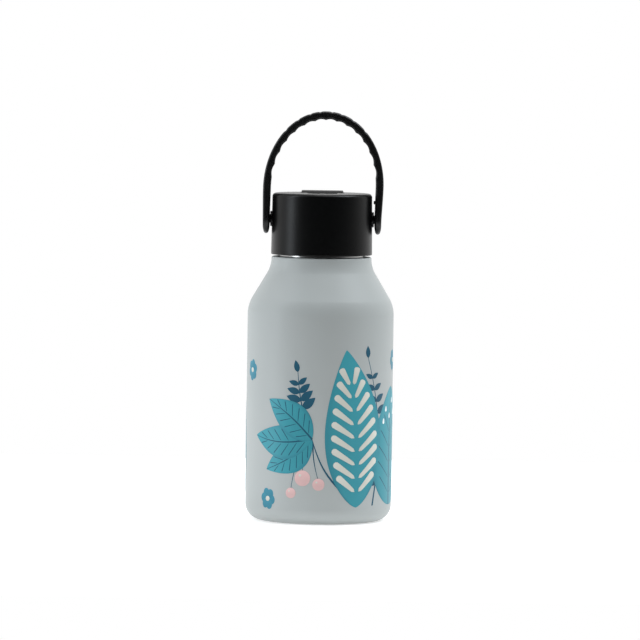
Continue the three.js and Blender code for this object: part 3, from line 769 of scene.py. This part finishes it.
class BOTTLE_OT_print(bpy.types.Operator):
    """Print leaves, fronds, sprigs and berries round the shell"""

    bl_idname = "bottle.print"
    bl_label = "Print"

    # The pattern, in millimetres across and up. It is printed once on each half of the shell.
    SIDE_LEAVES = (  # tip, width, sway, lift
        ((-36.5, 43.5), 17, 2.2, 0.7),
        ((-27, 62), 16, -1.5, 1.4),
        ((-28.5, 27), 16, 2.0, 0.0),
    )
    BERRIES = ((-8, 23.5, 3.9, -1.5), (0, 20.5, 3, -0.8), (-14, 16, 2.6, -2.5))  # x, z, radius, stalk's sway
    DROPS = ((41, 57), (49.5, 61), (38.5, 51), (45.5, 53.5), (53.5, 55), (57.5, 48.5))
    FLOWERS = ((-42, 75.5, 0.3), (-27.5, 12.5, -0.15), (51, 81, 0.1))  # x, z, turn
    FLOWER_SIZE = 9.5
    PETALS = 6

    def veins(self, ink, root, tip, width, pairs, sway=0.0, last=0.82, thick=0.4, lift=0.0):
        """Stripes from a leaf's middle line out towards its edges."""
        stem = Stem(root, tip, sway)
        first = 0.1
        wide = thick * stem.way.length / pairs
        for k in range(pairs):
            t = first + (last - first) / (pairs - 1) * k
            reach = min(0.93, t + 0.42 / pairs + 0.06)
            for hand in (-1, 1):
                inner = stem.at(t) + stem.side * hand * 0.035 * width
                outer = stem.at(reach) + stem.side * hand * 0.4 * width * leaf_width(reach)
                ink.patch(inner, outer, wide, stripe_width, along=10, across=3, lift=lift)

    def sprig(self, petals, heart, centre, turn):
        """A little flower of round petals about its heart."""
        size = self.FLOWER_SIZE
        for k in range(self.PETALS):
            angle = turn + FULL_TURN * k / self.PETALS
            x = centre[0] + 0.28 * size * math.cos(angle)
            z = centre[1] + 0.33 * size * math.sin(angle)
            ends = (x, z - 0.24 * size), (x, z + 0.24 * size)
            petals.patch(*ends, 0.4 * size, round_width, along=10, across=4, lift=0.12 * k)
        heart.dot(centre, 0.13 * size)

    def frond(self, ink, root, tip, pairs, sway, first=0.14, reach=8.5):
        """A stem with leaflets on both sides and one at its tip."""
        ink.line(root, tip, 1.0, sway, along=24)
        stem = Stem(root, tip, sway)
        ahead = stem.way.normalized()
        shape = {"outline": leaf_width, "along": 10, "across": 4, "lift": 0.4}
        for k in range(pairs):
            t = first + (0.94 - first) * k / pairs
            grow = math.sin(math.pi * (0.25 + 0.65 * t))
            start = stem.at(t)
            for hand in (-1, 1):
                out = start + (stem.side * hand * 0.88 + ahead * 0.48) * reach * grow
                ink.patch(start, out, 0.5 * reach * grow, **shape)
        ink.patch(tip, tip + ahead * reach * 0.7, 0.34 * reach, **shape)

    def pattern(self, shift, leaf, frond, ribs, cream, berry, sprig, dew):
        """Draw the pattern once, moved sideways by a shift."""

        def at(x, z):
            return Vector((x + shift, z))

        # The tall striped leaf, with a fern half behind its right edge.
        root, tip = at(19.5, 9), at(13.5, 87)
        leaf.patch(root, tip, 33, sway=-2.5, along=44, across=30)
        self.veins(cream, root, tip, 33, 9, sway=-2.5, last=0.78)
        self.frond(frond, at(30, 9.5), at(26, 83), 10, sway=-6)
        # Three leaves and a twig that spring from one stem on the left.
        fork = at(-3.5, 43)
        frond.line(at(15, 14), fork, 1.3, sway=3, along=20)
        for tip, width, sway, lift in self.SIDE_LEAVES:
            tip = at(*tip)
            leaf.patch(fork, tip, width, sway=sway, along=34, across=18, lift=lift)
            self.veins(ribs, fork, tip, width, 6, sway=sway, last=0.74, thick=0.1, lift=lift)
            ribs.line(fork, tip, 0.9, sway, lift=lift)
        self.frond(frond, fork, at(-11, 76), 4, sway=1.5, first=0.46)
        # Berries on short stalks under the leaves.
        for x, z, radius, stalk in self.BERRIES:
            frond.line(at(-3, 41), at(x, z + 0.6 * radius), 0.7, sway=stalk, along=14)
            berry.dot(at(x, z), radius)
            cream.dot(at(x - 0.32 * radius, z + 0.36 * radius), 0.17 * radius, lift=0.4)
        # The full leaf round the side, with drops of dew.
        root, tip = at(46, 9), at(48, 68)
        leaf.patch(root, tip, 33, full_width, sway=1, along=36, across=30)
        self.veins(ribs, root, tip, 30, 5, sway=1, last=0.62, thick=0.05)
        ribs.line(root, tip, 1.1, sway=1)
        for x, z in self.DROPS:
            dew.patch(at(x + 0.3, z + 1.4), at(x, z - 1.4), 2.0, drop_width, along=8, across=4)
        # Small flowers between.
        for x, z, turn in self.FLOWERS:
            self.sprig(sprig, cream, at(x, z), turn)

    def execute(self, context):
        c = context.scene.bottle_colours
        # Each ink: its piece's name, its layer, its material's name and colours.
        inks = (
            ("print_leaves", 2, "leaf_ink", c.leaf, c.leaf_edge),
            ("print_fronds", 1, "frond_ink", c.frond),
            ("print_ribs", 2.35, "rib_ink", c.frond),
            ("print_veins", 4, "cream_ink", c.cream),
            ("print_berries", 4, "berry_ink", c.berry),
            ("print_sprigs", 1, "sprig_ink", c.sprig),
            ("print_dew", 4, "dew_ink", c.dew),
        )
        layers = [Ink(name, layer) for name, layer, *_ in inks]
        for half_turns in (0, 1):
            self.pattern(half_turns * math.pi * BODY_RADIUS / MM, *layers)
        for ink, (_, _, *look) in zip(layers, inks):
            laid = ink.lay(context.scene.bottle_shell.foot_bend)
            complete(laid, "bottle", [ink_material(*look)], sharp=50)
        return {"FINISHED"}


# ---- Lid ----------------------------------------------------------------------------------------
class BOTTLE_OT_lid(bpy.types.Operator):
    """Make the lid's outer shell with the recess for the spout"""

    bl_idname = "bottle.lid"
    bl_label = "Lid"

    def recess_outline(self, s, grow):
        """The recess seen from above, as (x, y, bend), grown by the roundness of its upper edge."""
        half = s.barrel_length / 2 + FIT + grow
        reach = BARREL_RADIUS + s.recess_play + grow
        scoop = s.scoop_width / 2 + grow
        front = SLEEVE_LOW[1] - s.scoop_lead - grow
        corner = 0.8 * MM + grow
        notch = 1.3 * MM - grow
        near, far = BARREL_Y - reach, BARREL_Y + reach
        return [
            (half, near, corner),
            (half, far, corner),
            (-half, far, corner),
            (-half, near, corner),
            (-scoop, near, notch),
            (-scoop, front, 0.995 * scoop),
            (scoop, front, 0.995 * scoop),
            (scoop, near, notch),
        ]

    def recess_cutter(self, s, floor):
        """The room of the recess, which widens into a rounded lip at the lid's top."""
        bm = chain(bmesh.new(), self.recess_outline(s, s.recess_lip), closed=True, arc=math.radians(7))
        for vert in bm.verts:
            vert.co = (vert.co.x, vert.co.z, LID_CROWN)
        rim = bm.edges[:]
        face = bmesh.ops.contextual_create(bm, geom=rim)["faces"][0]
        if face.normal.z > 0:
            face.normal_flip()
        steps, lip = 5, s.recess_lip
        for k in range(1, steps + 1):
            last, turn = math.pi / 2 * (k - 1) / steps, math.pi / 2 * k / steps
            bmesh.ops.inset_region(
                bm,
                faces=[face],
                thickness=lip * (math.sin(turn) - math.sin(last)),
                depth=lip * (math.cos(last) - math.cos(turn)),
                use_even_offset=True,
                use_boundary=True,
            )
        floor_face = bmesh.ops.extrude_discrete_faces(bm, faces=[face])["faces"][0]
        for vert in floor_face.verts:
            vert.co.z = floor
        rim = [e for e in bm.edges if e.is_boundary]
        above = bmesh.ops.extrude_edge_only(bm, edges=rim)["geom"]
        above = [g for g in above if isinstance(g, bmesh.types.BMVert)]
        bmesh.ops.translate(bm, verts=above, vec=(0, 0, 2 * MM))
        bmesh.ops.holes_fill(bm, edges=[e for e in bm.edges if e.is_boundary], sides=0)
        return close_up(bm)

    def execute(self, context):
        s = context.scene.bottle_lid
        bore = LINER_HIGH[1] + FIT
        stop = RIM + FIT + s.ceiling_wall + FIT
        upper = bore - s.stop_step
        lid = turned(
            [
                (0, LID_CROWN, 0),
                (LID_RADIUS - s.draft, LID_CROWN, s.edge),
                (LID_RADIUS, LID_FOOT, 0.5 * MM),
                (bore, LID_FOOT, 0.3 * MM),
                (bore, stop, 0),
                (upper, stop, 0),
                (upper, LID_CROWN - s.top_wall, 1 * MM),
                (0, LID_CROWN - s.top_wall, 0),
            ],
            steps=160,
            on_axis=True,
        )
        lid = mesh_object("lid_cap", lid)
        half = s.barrel_length / 2 + FIT
        reach = BARREL_RADIUS + s.recess_play
        scoop = s.scoop_width / 2
        front = SLEEVE_LOW[1] - s.scoop_lead
        floor = BARREL_Z - s.nozzle_radius - s.recess_play
        shelf = LID_CROWN - s.top_wall / 2
        wall = s.recess_wall
        join(
            lid,
            block(
                (-half - wall, BARREL_Y - reach - wall, floor - wall),
                (half + wall, BARREL_Y + reach + wall, shelf),
                bend=1.2 * MM,
            ),
        )
        join(
            lid,
            block(
                (-scoop - wall, front - wall, floor - wall + 0.01 * MM),
                (scoop + wall, BARREL_Y, shelf),
                bend=scoop + wall - 0.05 * MM,
                segments=12,
            ),
        )
        cut(lid, self.recess_cutter(s, floor))
        well_play = 0.02 * MM
        cut(
            lid,
            block(
                (-half + well_play, BARREL_Y - reach + well_play, floor - 2 * wall),
                (half - well_play, BARREL_Y + reach - well_play, floor + 1 * MM),
                bend=0.8 * MM,
            ),
        )
        bearing = half + 2 * wall
        pins = (-bearing, BARREL_Y, BARREL_Z), (bearing, BARREL_Y, BARREL_Z)
        cut(lid, rod(s.trunnion_radius + FIT, *pins))
        drain = (0, front + scoop)
        cut(lid, rod(s.drain_radius, (*drain, floor - 2 * wall), (*drain, floor + wall), steps=20))
        pad = LID_HIGH[0]
        for side in (-1, 1):
            root, face = (side * (bore + 0.25 * s.wall), 0, STUD_Z), (side * pad, 0, STUD_Z)
            join(lid, rod(s.pad_radius, root, face, edge=0.25 * MM))
            inside, outside = (side * (upper - 1 * MM), 0, STUD_Z), (side * (pad + 1 * MM), 0, STUD_Z)
            cut(lid, rod(s.stud_radius + FIT, inside, outside))
        complete(lid, "lid", [surface(context, "moulded_black")], ["lid_shell"], sharp=32)
        return {"FINISHED"}


class BOTTLE_OT_lid_inside(bpy.types.Operator):
    """Make the liner, gasket, seals, valve and straw inside the lid"""

    bl_idname = "bottle.lid_inside"
    bl_label = "Lid's inside"

    def liner(self, s, shell):
        ceiling = RIM + FIT
        top = ceiling + s.ceiling_wall
        bore = tube_radius(shell) + shell.thread_height + s.thread_play
        outer, low = LINER_HIGH[1], LINER_LOW[2]
        plug = shell.mouth_radius - s.plug_clearance
        plug_low = ceiling - s.plug_depth
        lip = shell.mouth_radius - 1 * MM
        liner = turned(
            [
                (0, top, 0),
                (outer, top, 0.3 * MM),
                (outer, low, 0.3 * MM),
                (bore, low, 0.3 * MM),
                (bore, ceiling, 0.3 * MM),
                (plug, ceiling, 0),
                (plug, plug_low + s.plug_lip, 0),
                (lip, plug_low + s.plug_lip, 0.15 * MM),
                (lip, plug_low, 0.3 * MM),
                (plug - s.plug_wall, plug_low, 0.3 * MM),
                (plug - s.plug_wall, ceiling, 0.5 * MM),
                (0, ceiling, 0),
            ],
            on_axis=True,
        )
        liner = mesh_object("lid_insert", liner)
        middle = LID_FOOT - shell.lid_gap + shell.thread_start - s.thread_seat
        join(liner, thread_ridge(bore, shell.thread_height - 0.2 * MM, -1, middle, shell.thread_lead))
        half_x = (SEAL_HIGH[0] - SEAL_LOW[0]) / 2 + FIT
        half_y = (SEAL_HIGH[1] - SEAL_LOW[1]) / 2 + FIT
        wall = s.seat_wall
        seat_low = (-half_x - wall, BARREL_Y - half_y - wall, top - 0.5 * MM)
        seat_high = (half_x + wall, BARREL_Y + half_y + wall, LINER_HIGH[2])
        join(liner, block(seat_low, seat_high, bend=1 * MM))
        room_low, room_high = (-half_x, BARREL_Y - half_y, top), (half_x, BARREL_Y + half_y, top + 9 * MM)
        cut(liner, block(room_low, room_high, bend=0.5 * MM))
        foot = ceiling - s.spigot_reach
        spigot = (0, BARREL_Y, foot), (0, BARREL_Y, ceiling + 0.5 * MM)
        join(liner, rod(s.spigot_radius, *spigot, edge=0.3 * MM))
        cut(liner, rod(s.bore, (0, BARREL_Y, foot - 1 * MM), (0, BARREL_Y, top + 1 * MM), steps=32))
        vent_y = (VENT_LOW[1] + VENT_HIGH[1]) / 2
        beside = s.vent_stem + FIT + s.drain_radius + 0.3 * MM
        for x, radius in ((0, s.vent_stem + FIT), (beside, s.drain_radius), (-beside, s.drain_radius)):
            cut(liner, rod(radius, (x, vent_y, ceiling - 1 * MM), (x, vent_y, top + 1 * MM), steps=20))
        return liner

    def gasket(self, s, shell):
        """A ring with two soft lips, seated round the plug."""
        inner = shell.mouth_radius - s.plug_clearance + FIT
        lip = GASKET_HIGH[0]
        root = inner + 0.45 * (lip - inner)
        low, high = GASKET_LOW[2], GASKET_HIGH[2]
        third = (high - low) / 3
        soft = 0.12 * MM
        return turned(
            [
                (inner, low, soft),
                (root, low, soft),
                (lip, low + 0.4 * third, soft),
                (root, low + third, soft),
                (root, low + 1.7 * third, soft),
                (lip, low + 2.1 * third, soft),
                (root, high, soft),
                (inner, high, soft),
            ]
        )

    def valve(self, s):
        """A mushroom valve: a thin disc under the liner and a bulb that holds it."""
        low, high = VENT_LOW[2], VENT_HIGH[2]
        radius, stem, disc = VENT_HIGH[0], s.vent_stem, 0.6 * MM
        valve = turned(
            [
                (0, low, 0),
                (0.7 * radius, low, 1 * MM),
                (radius, low + 0.6 * disc, 0.1 * MM),
                (radius, low + disc, 0.1 * MM),
                (stem, low + disc, 0.1 * MM),
                (stem, high - 2 * MM, 0),
                (stem + 0.7 * MM, high - 1.6 * MM, 0.3 * MM),
                (0.6 * stem, high, 0.3 * MM),
                (0, high, 0),
            ],
            steps=40,
            on_axis=True,
        )
        bmesh.ops.translate(valve, verts=valve.verts, vec=(0, (VENT_LOW[1] + VENT_HIGH[1]) / 2, 0))
        return valve

    def execute(self, context):
        s = context.scene.bottle_lid
        shell = context.scene.bottle_shell
        plastic = [surface(context, "liner_black")]
        complete(self.liner(s, shell), "lid", plastic, ["lid_liner"])
        silicone = [surface(context, "milky_silicone")]
        ring = mesh_object("plug_gasket", self.gasket(s, shell))
        complete(ring, "gasket", silicone, ["lid_gasket"], sharp=50)
        complete(mesh_object("air_valve", self.valve(s)), "lid", silicone, ["vent_valve"])

        seal = mesh_object("barrel_seal", block(SEAL_LOW, SEAL_HIGH, bend=0.8 * MM))
        half = s.barrel_length / 2
        cut(seal, rod(BARREL_RADIUS + FIT, (-half, BARREL_Y, BARREL_Z), (half, BARREL_Y, BARREL_Z), steps=96))
        cut(seal, rod(s.bore, (0, BARREL_Y, SEAL_LOW[2] - 1 * MM), (0, BARREL_Y, BARREL_Z), steps=32))
        complete(seal, "lid", silicone, ["spout_seal"])

        outer, wall = STRAW_HIGH[0], s.straw_wall
        low, high = STRAW_LOW[2], STRAW_HIGH[2]
        edge, inner = 0.2 * MM, outer - wall
        ring = [(inner, low, edge), (outer, low, edge), (outer, high, edge), (inner, high, edge)]
        tube = turned(ring, steps=48)
        bmesh.ops.translate(tube, verts=tube.verts, vec=(0, BARREL_Y, 0))
        tube = mesh_object("drinking_tube", tube)
        # The straw's lower end is cut at a slant.
        wide = 2 * outer
        wedge = block((-1.5 * wide, -wide / 2, -3 * wide), (1.5 * wide, wide / 2, 0))
        cut(tube, placed(wedge, (0, BARREL_Y, low + 0.2 * wide), "Y", 1 / 3))
        complete(tube, "lid", [surface(context, "milky_straw")], ["straw"])
        return {"FINISHED"}


class BOTTLE_OT_spout(bpy.types.Operator):
    """Make the folding spout with its hinge barrel and soft mouthpiece"""

    bl_idname = "bottle.spout"
    bl_label = "Spout"

    def execute(self, context):
        s = context.scene.bottle_lid
        half, reach = s.barrel_length / 2, SPOUT_HIGH[0]
        pin = s.trunnion_radius
        barrel = turned(
            [
                (0, -reach, 0),
                (pin, -reach, 0.3 * MM),
                (pin, -half, 0),
                (BARREL_RADIUS, -half, 0.6 * MM),
                (BARREL_RADIUS, half, 0.6 * MM),
                (pin, half, 0),
                (pin, reach, 0.3 * MM),
                (0, reach, 0),
            ],
            steps=112,
            on_axis=True,
        )
        axis = (0, BARREL_Y, BARREL_Z)
        spout = mesh_object("folding_spout", placed(barrel, axis, "Y", 1))
        nozzle_end = SLEEVE_HIGH[1] + FIT
        join(spout, rod(s.nozzle_radius, axis, (0, nozzle_end, BARREL_Z), steps=72, edge=0.4 * MM))
        join(spout, rod(s.stub_radius, axis, (0, SPOUT_LOW[1], BARREL_Z), steps=48, edge=0.3 * MM))
        behind = BARREL_Y + BARREL_RADIUS + 1 * MM
        ahead = SPOUT_LOW[1] - 1 * MM
        cut(spout, rod(s.bore, (0, behind, BARREL_Z), (0, ahead, BARREL_Z), steps=32))
        complete(spout, "spout", [surface(context, "moulded_black")], ["spout"], sharp=32)

        front, back = SLEEVE_LOW[1], SLEEVE_HIGH[1]
        wide = s.nozzle_radius
        sleeve = turned(
            [
                (s.bore, front, 0.35 * MM),
                (wide - 1.2 * MM, front, 0.8 * MM),
                (wide - 0.3 * MM, front + 1.0 * MM, 0.5 * MM),
                (wide - 0.3 * MM, front + 2.2 * MM, 0.6 * MM),
                (wide - 0.9 * MM, front + 3.4 * MM, 2.0 * MM),
                (wide - 0.1 * MM, back, 0.3 * MM),
                (s.stub_radius + FIT, back, 0.2 * MM),
                (s.stub_radius + FIT, SPOUT_LOW[1] - FIT, 0),
                (s.bore, SPOUT_LOW[1] - FIT, 0.2 * MM),
            ],
            steps=72,
        )
        sleeve = mesh_object("soft_mouthpiece", placed(sleeve, (0, 0, BARREL_Z), "X", -1))
        soft = [surface(context, "mouthpiece_black")]
        complete(sleeve, "spout", soft, ["mouthpiece"], sharp=45)
        return {"FINISHED"}


# ---- Strap --------------------------------------------------------------------------------------
def rounded_section(half_a, half_b, bend, steps=5):
    """Points round a rectangle with rounded corners, as many whatever its size."""
    bend = min(bend, half_a, half_b)
    points = []
    for quarter, (a, b) in enumerate(((1, 1), (-1, 1), (-1, -1), (1, -1))):
        for k in range(steps + 1):
            turn = math.pi / 2 * (quarter + k / steps)
            points.append(
                (a * (half_a - bend) + bend * math.cos(turn), b * (half_b - bend) + bend * math.sin(turn))
            )
    return points


def eased(t):
    """From 0 to 1 with a soft start and end."""
    t = min(1.0, max(0.0, t))
    return t * t * (3 - 2 * t)


class BOTTLE_OT_strap(bpy.types.Operator):
    """Make the carry strap with its grip hollows"""

    bl_idname = "bottle.strap"
    bl_label = "Strap"

    NOTCHES = (3, 8, 14, 20)  # across from the crown, in millimetres

    def arch_point(self, s, half, rise, angle, shift):
        """A point of the arch's inner or outer line, moved outwards by a shift."""
        out = Vector((math.cos(angle) / half, 0, math.sin(angle) / rise)).normalized()
        line = Vector((half * math.cos(angle), 0, STUD_Z + s.leg + rise * math.sin(angle)))
        return line + out * shift

    def draw_in(self, s, z):
        """How much thinner than its full thickness a leg is at a height."""
        return s.leg_taper * eased((STUD_Z + s.leg - z) / (s.leg + 4 * MM))

    def eye(self, s, inner, outer):
        """The round end below a stud, from its tip up to the stud's height."""
        steps, thin_end, round_end = 18, 4.5 * MM, 0.9 * MM
        tip = STUD_Z - s.eye_radius
        for k in range(steps + 1):
            d = s.eye_radius * (1 - math.cos(math.pi / 2 * k / steps))
            drawn = self.draw_in(s, tip + d) / 2
            taper = (s.thickness - s.tip) / 2 * max(0.0, 1 - d / thin_end) ** 2
            round_off = math.sqrt(max(0.0, 1 - max(0.0, 1 - d / round_end) ** 2))
            half = (s.thickness / 2 - taper) * max(0.02, round_off) - drawn * round_off
            middle = (inner + outer) / 2 - drawn
            width = math.sqrt(max(0.0, s.eye_radius**2 - (s.eye_radius - d) ** 2))
            yield Vector((middle - half, 0, tip + d)), Vector((middle + half, 0, tip + d)), width

    def leg(self, s, inner, outer):
        """The straight leg above a stud, which narrows to the arch's width."""
        steps = 10
        for k in range(1, steps + 1):
            t = k / steps
            z = STUD_Z + s.leg * t
            width = s.eye_radius + (s.width / 2 - s.eye_radius) * eased(t)
            yield Vector((inner, 0, z)), Vector((outer - self.draw_in(s, z), 0, z)), width

    def arch(self, s, inner, outer):
        """The arch up to its crown, with hollows inside and fine notches outside."""
        steps = 10
        start = math.radians(8)
        rise = STRAP_HIGH[2] - STUD_Z - s.leg
        span = (math.pi - 2 * start) / s.ridges
        plain = [start * k / 5 for k in range(1, 5)]
        ridged = [start + span * k / steps for k in range(s.ridges * steps // 2 + 1)]
        for angle in plain + ridged:
            share = max(0.0, (angle - start) / span)
            hollow = s.hollow * math.sin(math.pi * (share % 1.0)) if angle > start else 0.0
            across = outer * math.cos(angle)
            notch = sum(math.exp(-(((across - x * MM) / (0.55 * MM)) ** 2)) for x in self.NOTCHES)
            low = self.arch_point(s, inner, rise - s.crown, angle, hollow)
            yield low, self.arch_point(s, outer, rise, angle, -s.notch * notch), s.width / 2

    def execute(self, context):
        s = context.scene.bottle_strap
        lid = context.scene.bottle_lid
        sides = s, STRAP_LIMB_INNER, STRAP_HIGH[0]
        # Each station: an inner point, an outer point and half the width.
        right = [*self.eye(*sides), *self.leg(*sides), *self.arch(*sides)]
        flip = Matrix.Diagonal((-1, 1, 1))
        left = [(flip @ inner, flip @ outer, width) for inner, outer, width in right[:-1]]
        line = right + left[::-1]
        bend = 1.1 * MM
        around = len(rounded_section(1, 1, 0.1))
        bm = bmesh.new()
        bmesh.ops.create_grid(bm, x_segments=around, y_segments=len(line) - 1, size=1)
        for vert in bm.verts:
            row = round((vert.co.y + 1) / 2 * (len(line) - 1))
            column = round((vert.co.x + 1) / 2 * around) % around
            inner, outer, width = line[row]
            thick = (outer - inner).length / 2
            a, b = rounded_section(thick, width, bend)[column]
            vert.co = (inner + outer) / 2 + (outer - inner).normalized() * a + Vector((0, b, 0))
            vert.co.x += s.lean * max(0.0, (vert.co.z - STUD_Z) / (STRAP_HIGH[2] - STUD_Z))
        strap = mesh_object("carry_strap", close_up(bm))
        # A small stop stands on the right leg's inner face, above its stud.
        nub = STUD_Z + 8.6 * MM
        stop = (STRAP_LIMB_INNER + 1 * MM, 0, nub), (STRAP_LIMB_INNER - 0.5 * MM, 0, nub)
        join(strap, rod(0.9 * MM, *stop, edge=0.4 * MM))
        head_out = STUD_HIGH[0] + FIT
        head_in = head_out - lid.stud_head - 2 * FIT
        for side in (-1, 1):
            for radius, near, far in (
                (lid.stud_radius + FIT, STRAP_LIMB_INNER - 1 * MM, head_in + 0.2 * MM),
                (lid.head_radius + FIT, head_in, head_out),
            ):
                cut(strap, rod(radius, (side * near, 0, STUD_Z), (side * far, 0, STUD_Z)))
        complete(strap, "strap", [surface(context, "soft_black")], ["strap"], sharp=50)
        return {"FINISHED"}


class BOTTLE_OT_studs(bpy.types.Operator):
    """Make the two studs that the strap turns on"""

    bl_idname = "bottle.studs"
    bl_label = "Strap studs"

    def execute(self, context):
        s = context.scene.bottle_lid
        near, far = STUD_LOW[0], STUD_HIGH[0]
        barb = near + 1.55 * MM
        for side, name in ((-1, "left"), (1, "right")):
            stud = turned(
                [
                    (0, near, 0),
                    (s.stud_radius, near, 0.3 * MM),
                    (s.barb_radius, barb - 0.8 * MM, 0.1 * MM),
                    (s.barb_radius, barb, 0.1 * MM),
                    (s.stud_radius, barb, 0),
                    (s.stud_radius, far - s.stud_head, 0),
                    (s.head_radius, far - s.stud_head, 0.15 * MM),
                    (s.head_radius, far, 0.5 * MM),
                    (0, far, 0),
                ],
                steps=48,
                on_axis=True,
            )
            stud = mesh_object(f"stud_{name}", placed(stud, (0, 0, STUD_Z), "Y", side))
            complete(stud, "lid", [surface(context, "moulded_black")], [f"strap_stud_{name}"])
        return {"FINISHED"}


# ---- Stage --------------------------------------------------------------------------------------
COOL, WHITE = (0.88, 0.94, 1.0), (1, 1, 1)
SOFTBOXES = (  # name, place, aim, width, height, watts, tint
    ("left_box", (-1.45, -0.36, 0.8), (0, 0, 0.4), 0.35, 2.0, 15.5, COOL),
    ("right_box", (0.95, -0.1, 1.5), (0, 0, 0.12), 0.7, 0.7, 16, COOL),
    ("top_box", (0.12, -0.12, 1.7), (0, 0, 0.12), 0.8, 0.8, 11, WHITE),
)
SENSOR = 36  # the camera's sensor is this wide, in its lens's millimetres


class BOTTLE_OT_stage(bpy.types.Operator):
    """Set up the floor, the soft studio light and the camera"""

    bl_idname = "bottle.stage"
    bl_label = "Stage"

    def softbox(self, scene, name, place, aim, width, height, power, tint):
        light = bpy.data.lights.new(name, "AREA")
        light.shape = "RECTANGLE"
        light.size, light.size_y = width, height
        light.energy = power
        light.color = tint
        obj = bpy.data.objects.new(name, light)
        scene.collection.objects.link(obj)
        obj.location = place
        obj.rotation_euler = (Vector(aim) - Vector(place)).to_track_quat("-Z", "Y").to_euler()

    def world(self, scene):
        """A bright sweep behind the bottle and a dim room in front of it, plain white to the camera."""
        scene.world = bpy.data.worlds.new("studio")
        scene.world.use_nodes = True
        tree = scene.world.node_tree
        sky = tree.nodes["Background"].inputs
        direction = add(tree, "TexCoord").outputs["Generated"]
        parts = add(tree, "SeparateXYZ", {"Vector": direction}).outputs
        sweep = {"Value": parts["Y"], "From Min": -0.85, "From Max": 0.9, "To Min": 0.03, "To Max": 1.15}
        front = add(tree, "MapRange", sweep, interpolation_type="SMOOTHSTEP").outputs["Result"]
        ray = add(tree, "LightPath").outputs["Is Camera Ray"]
        seen = add(tree, "Mix", {"Factor": ray, "A": front, "B": 1.0})
        feed(tree, sky["Strength"], seen.outputs["Result"])
        feed(tree, sky["Color"], (*WHITE, 1))

    def floor(self, size):
        bm = bmesh.new()
        bmesh.ops.create_grid(bm, x_segments=1, y_segments=1, size=size / 2)
        floor = mesh_object("floor", bm)
        glow = {"Emission_Color": (*WHITE, 1), "Emission_Strength": 0.5}
        floor.data.materials.append(finish("floor_paper", [0.75] * 3, 0.8, grain=300, tone_play=0.0, **glow))

    def camera(self, scene, s):
        lens = bpy.data.cameras.new("camera")
        obj = bpy.data.objects.new("camera", lens)
        scene.collection.objects.link(obj)
        place, aim = Vector((0, -s.distance, s.height)), Vector((0, 0, s.aim))
        look = (aim - place).to_track_quat("-Z", "Y")
        right = look @ Vector((1, 0, 0))
        obj.location = place - right * s.slide
        obj.rotation_euler = (look @ Matrix.Rotation(s.roll, 3, "Z").to_quaternion()).to_euler()
        lens.sensor_width = SENSOR
        lens.lens = SENSOR * (aim - place).length / s.span
        lens.clip_end = 50
        scene.camera = obj

    def execute(self, context):
        scene = context.scene
        s = scene.bottle_stage
        scene.view_settings.view_transform = "Standard"
        self.world(scene)
        self.floor(s.floor_size)
        for box in SOFTBOXES:
            self.softbox(scene, *box)
        self.camera(scene, s)
        return {"FINISHED"}


class BOTTLE_PT_panel(bpy.types.Panel):
    """The bottle's pieces, in the order they are made"""

    bl_label = "Bottle"
    bl_idname = "BOTTLE_PT_panel"
    bl_space_type = "VIEW_3D"
    bl_region_type = "UI"
    bl_category = "Bottle"

    def draw(self, context):
        for maker in MAKERS:
            self.layout.operator(maker.bl_idname)


MAKERS = (
    BOTTLE_OT_shell,
    BOTTLE_OT_flask,
    BOTTLE_OT_print,
    BOTTLE_OT_lid,
    BOTTLE_OT_lid_inside,
    BOTTLE_OT_spout,
    BOTTLE_OT_strap,
    BOTTLE_OT_studs,
    BOTTLE_OT_stage,
)
SETTINGS = {
    "bottle_shell": BottleShellSizes,
    "bottle_lid": BottleLidSizes,
    "bottle_strap": BottleStrapSizes,
    "bottle_colours": BottleColours,
    "bottle_stage": BottleStageSizes,
}


def register():
    for group in SETTINGS.values():
        bpy.utils.register_class(group)
    for cls in (*MAKERS, BOTTLE_PT_panel):
        bpy.utils.register_class(cls)
    for name, group in SETTINGS.items():
        setattr(bpy.types.Scene, name, PointerProperty(type=group))


def unregister():
    for name in SETTINGS:
        delattr(bpy.types.Scene, name)
    for cls in (BOTTLE_PT_panel, *reversed(MAKERS)):
        bpy.utils.unregister_class(cls)
    for group in reversed(SETTINGS.values()):
        bpy.utils.unregister_class(group)


def main():
    register()
    bpy.ops.bottle.shell()
    bpy.ops.bottle.flask()
    bpy.ops.bottle.print()
    bpy.ops.bottle.lid()
    bpy.ops.bottle.lid_inside()
    bpy.ops.bottle.spout()
    bpy.ops.bottle.strap()
    bpy.ops.bottle.studs()
    bpy.ops.bottle.stage()


if __name__ == "__main__":
    main()
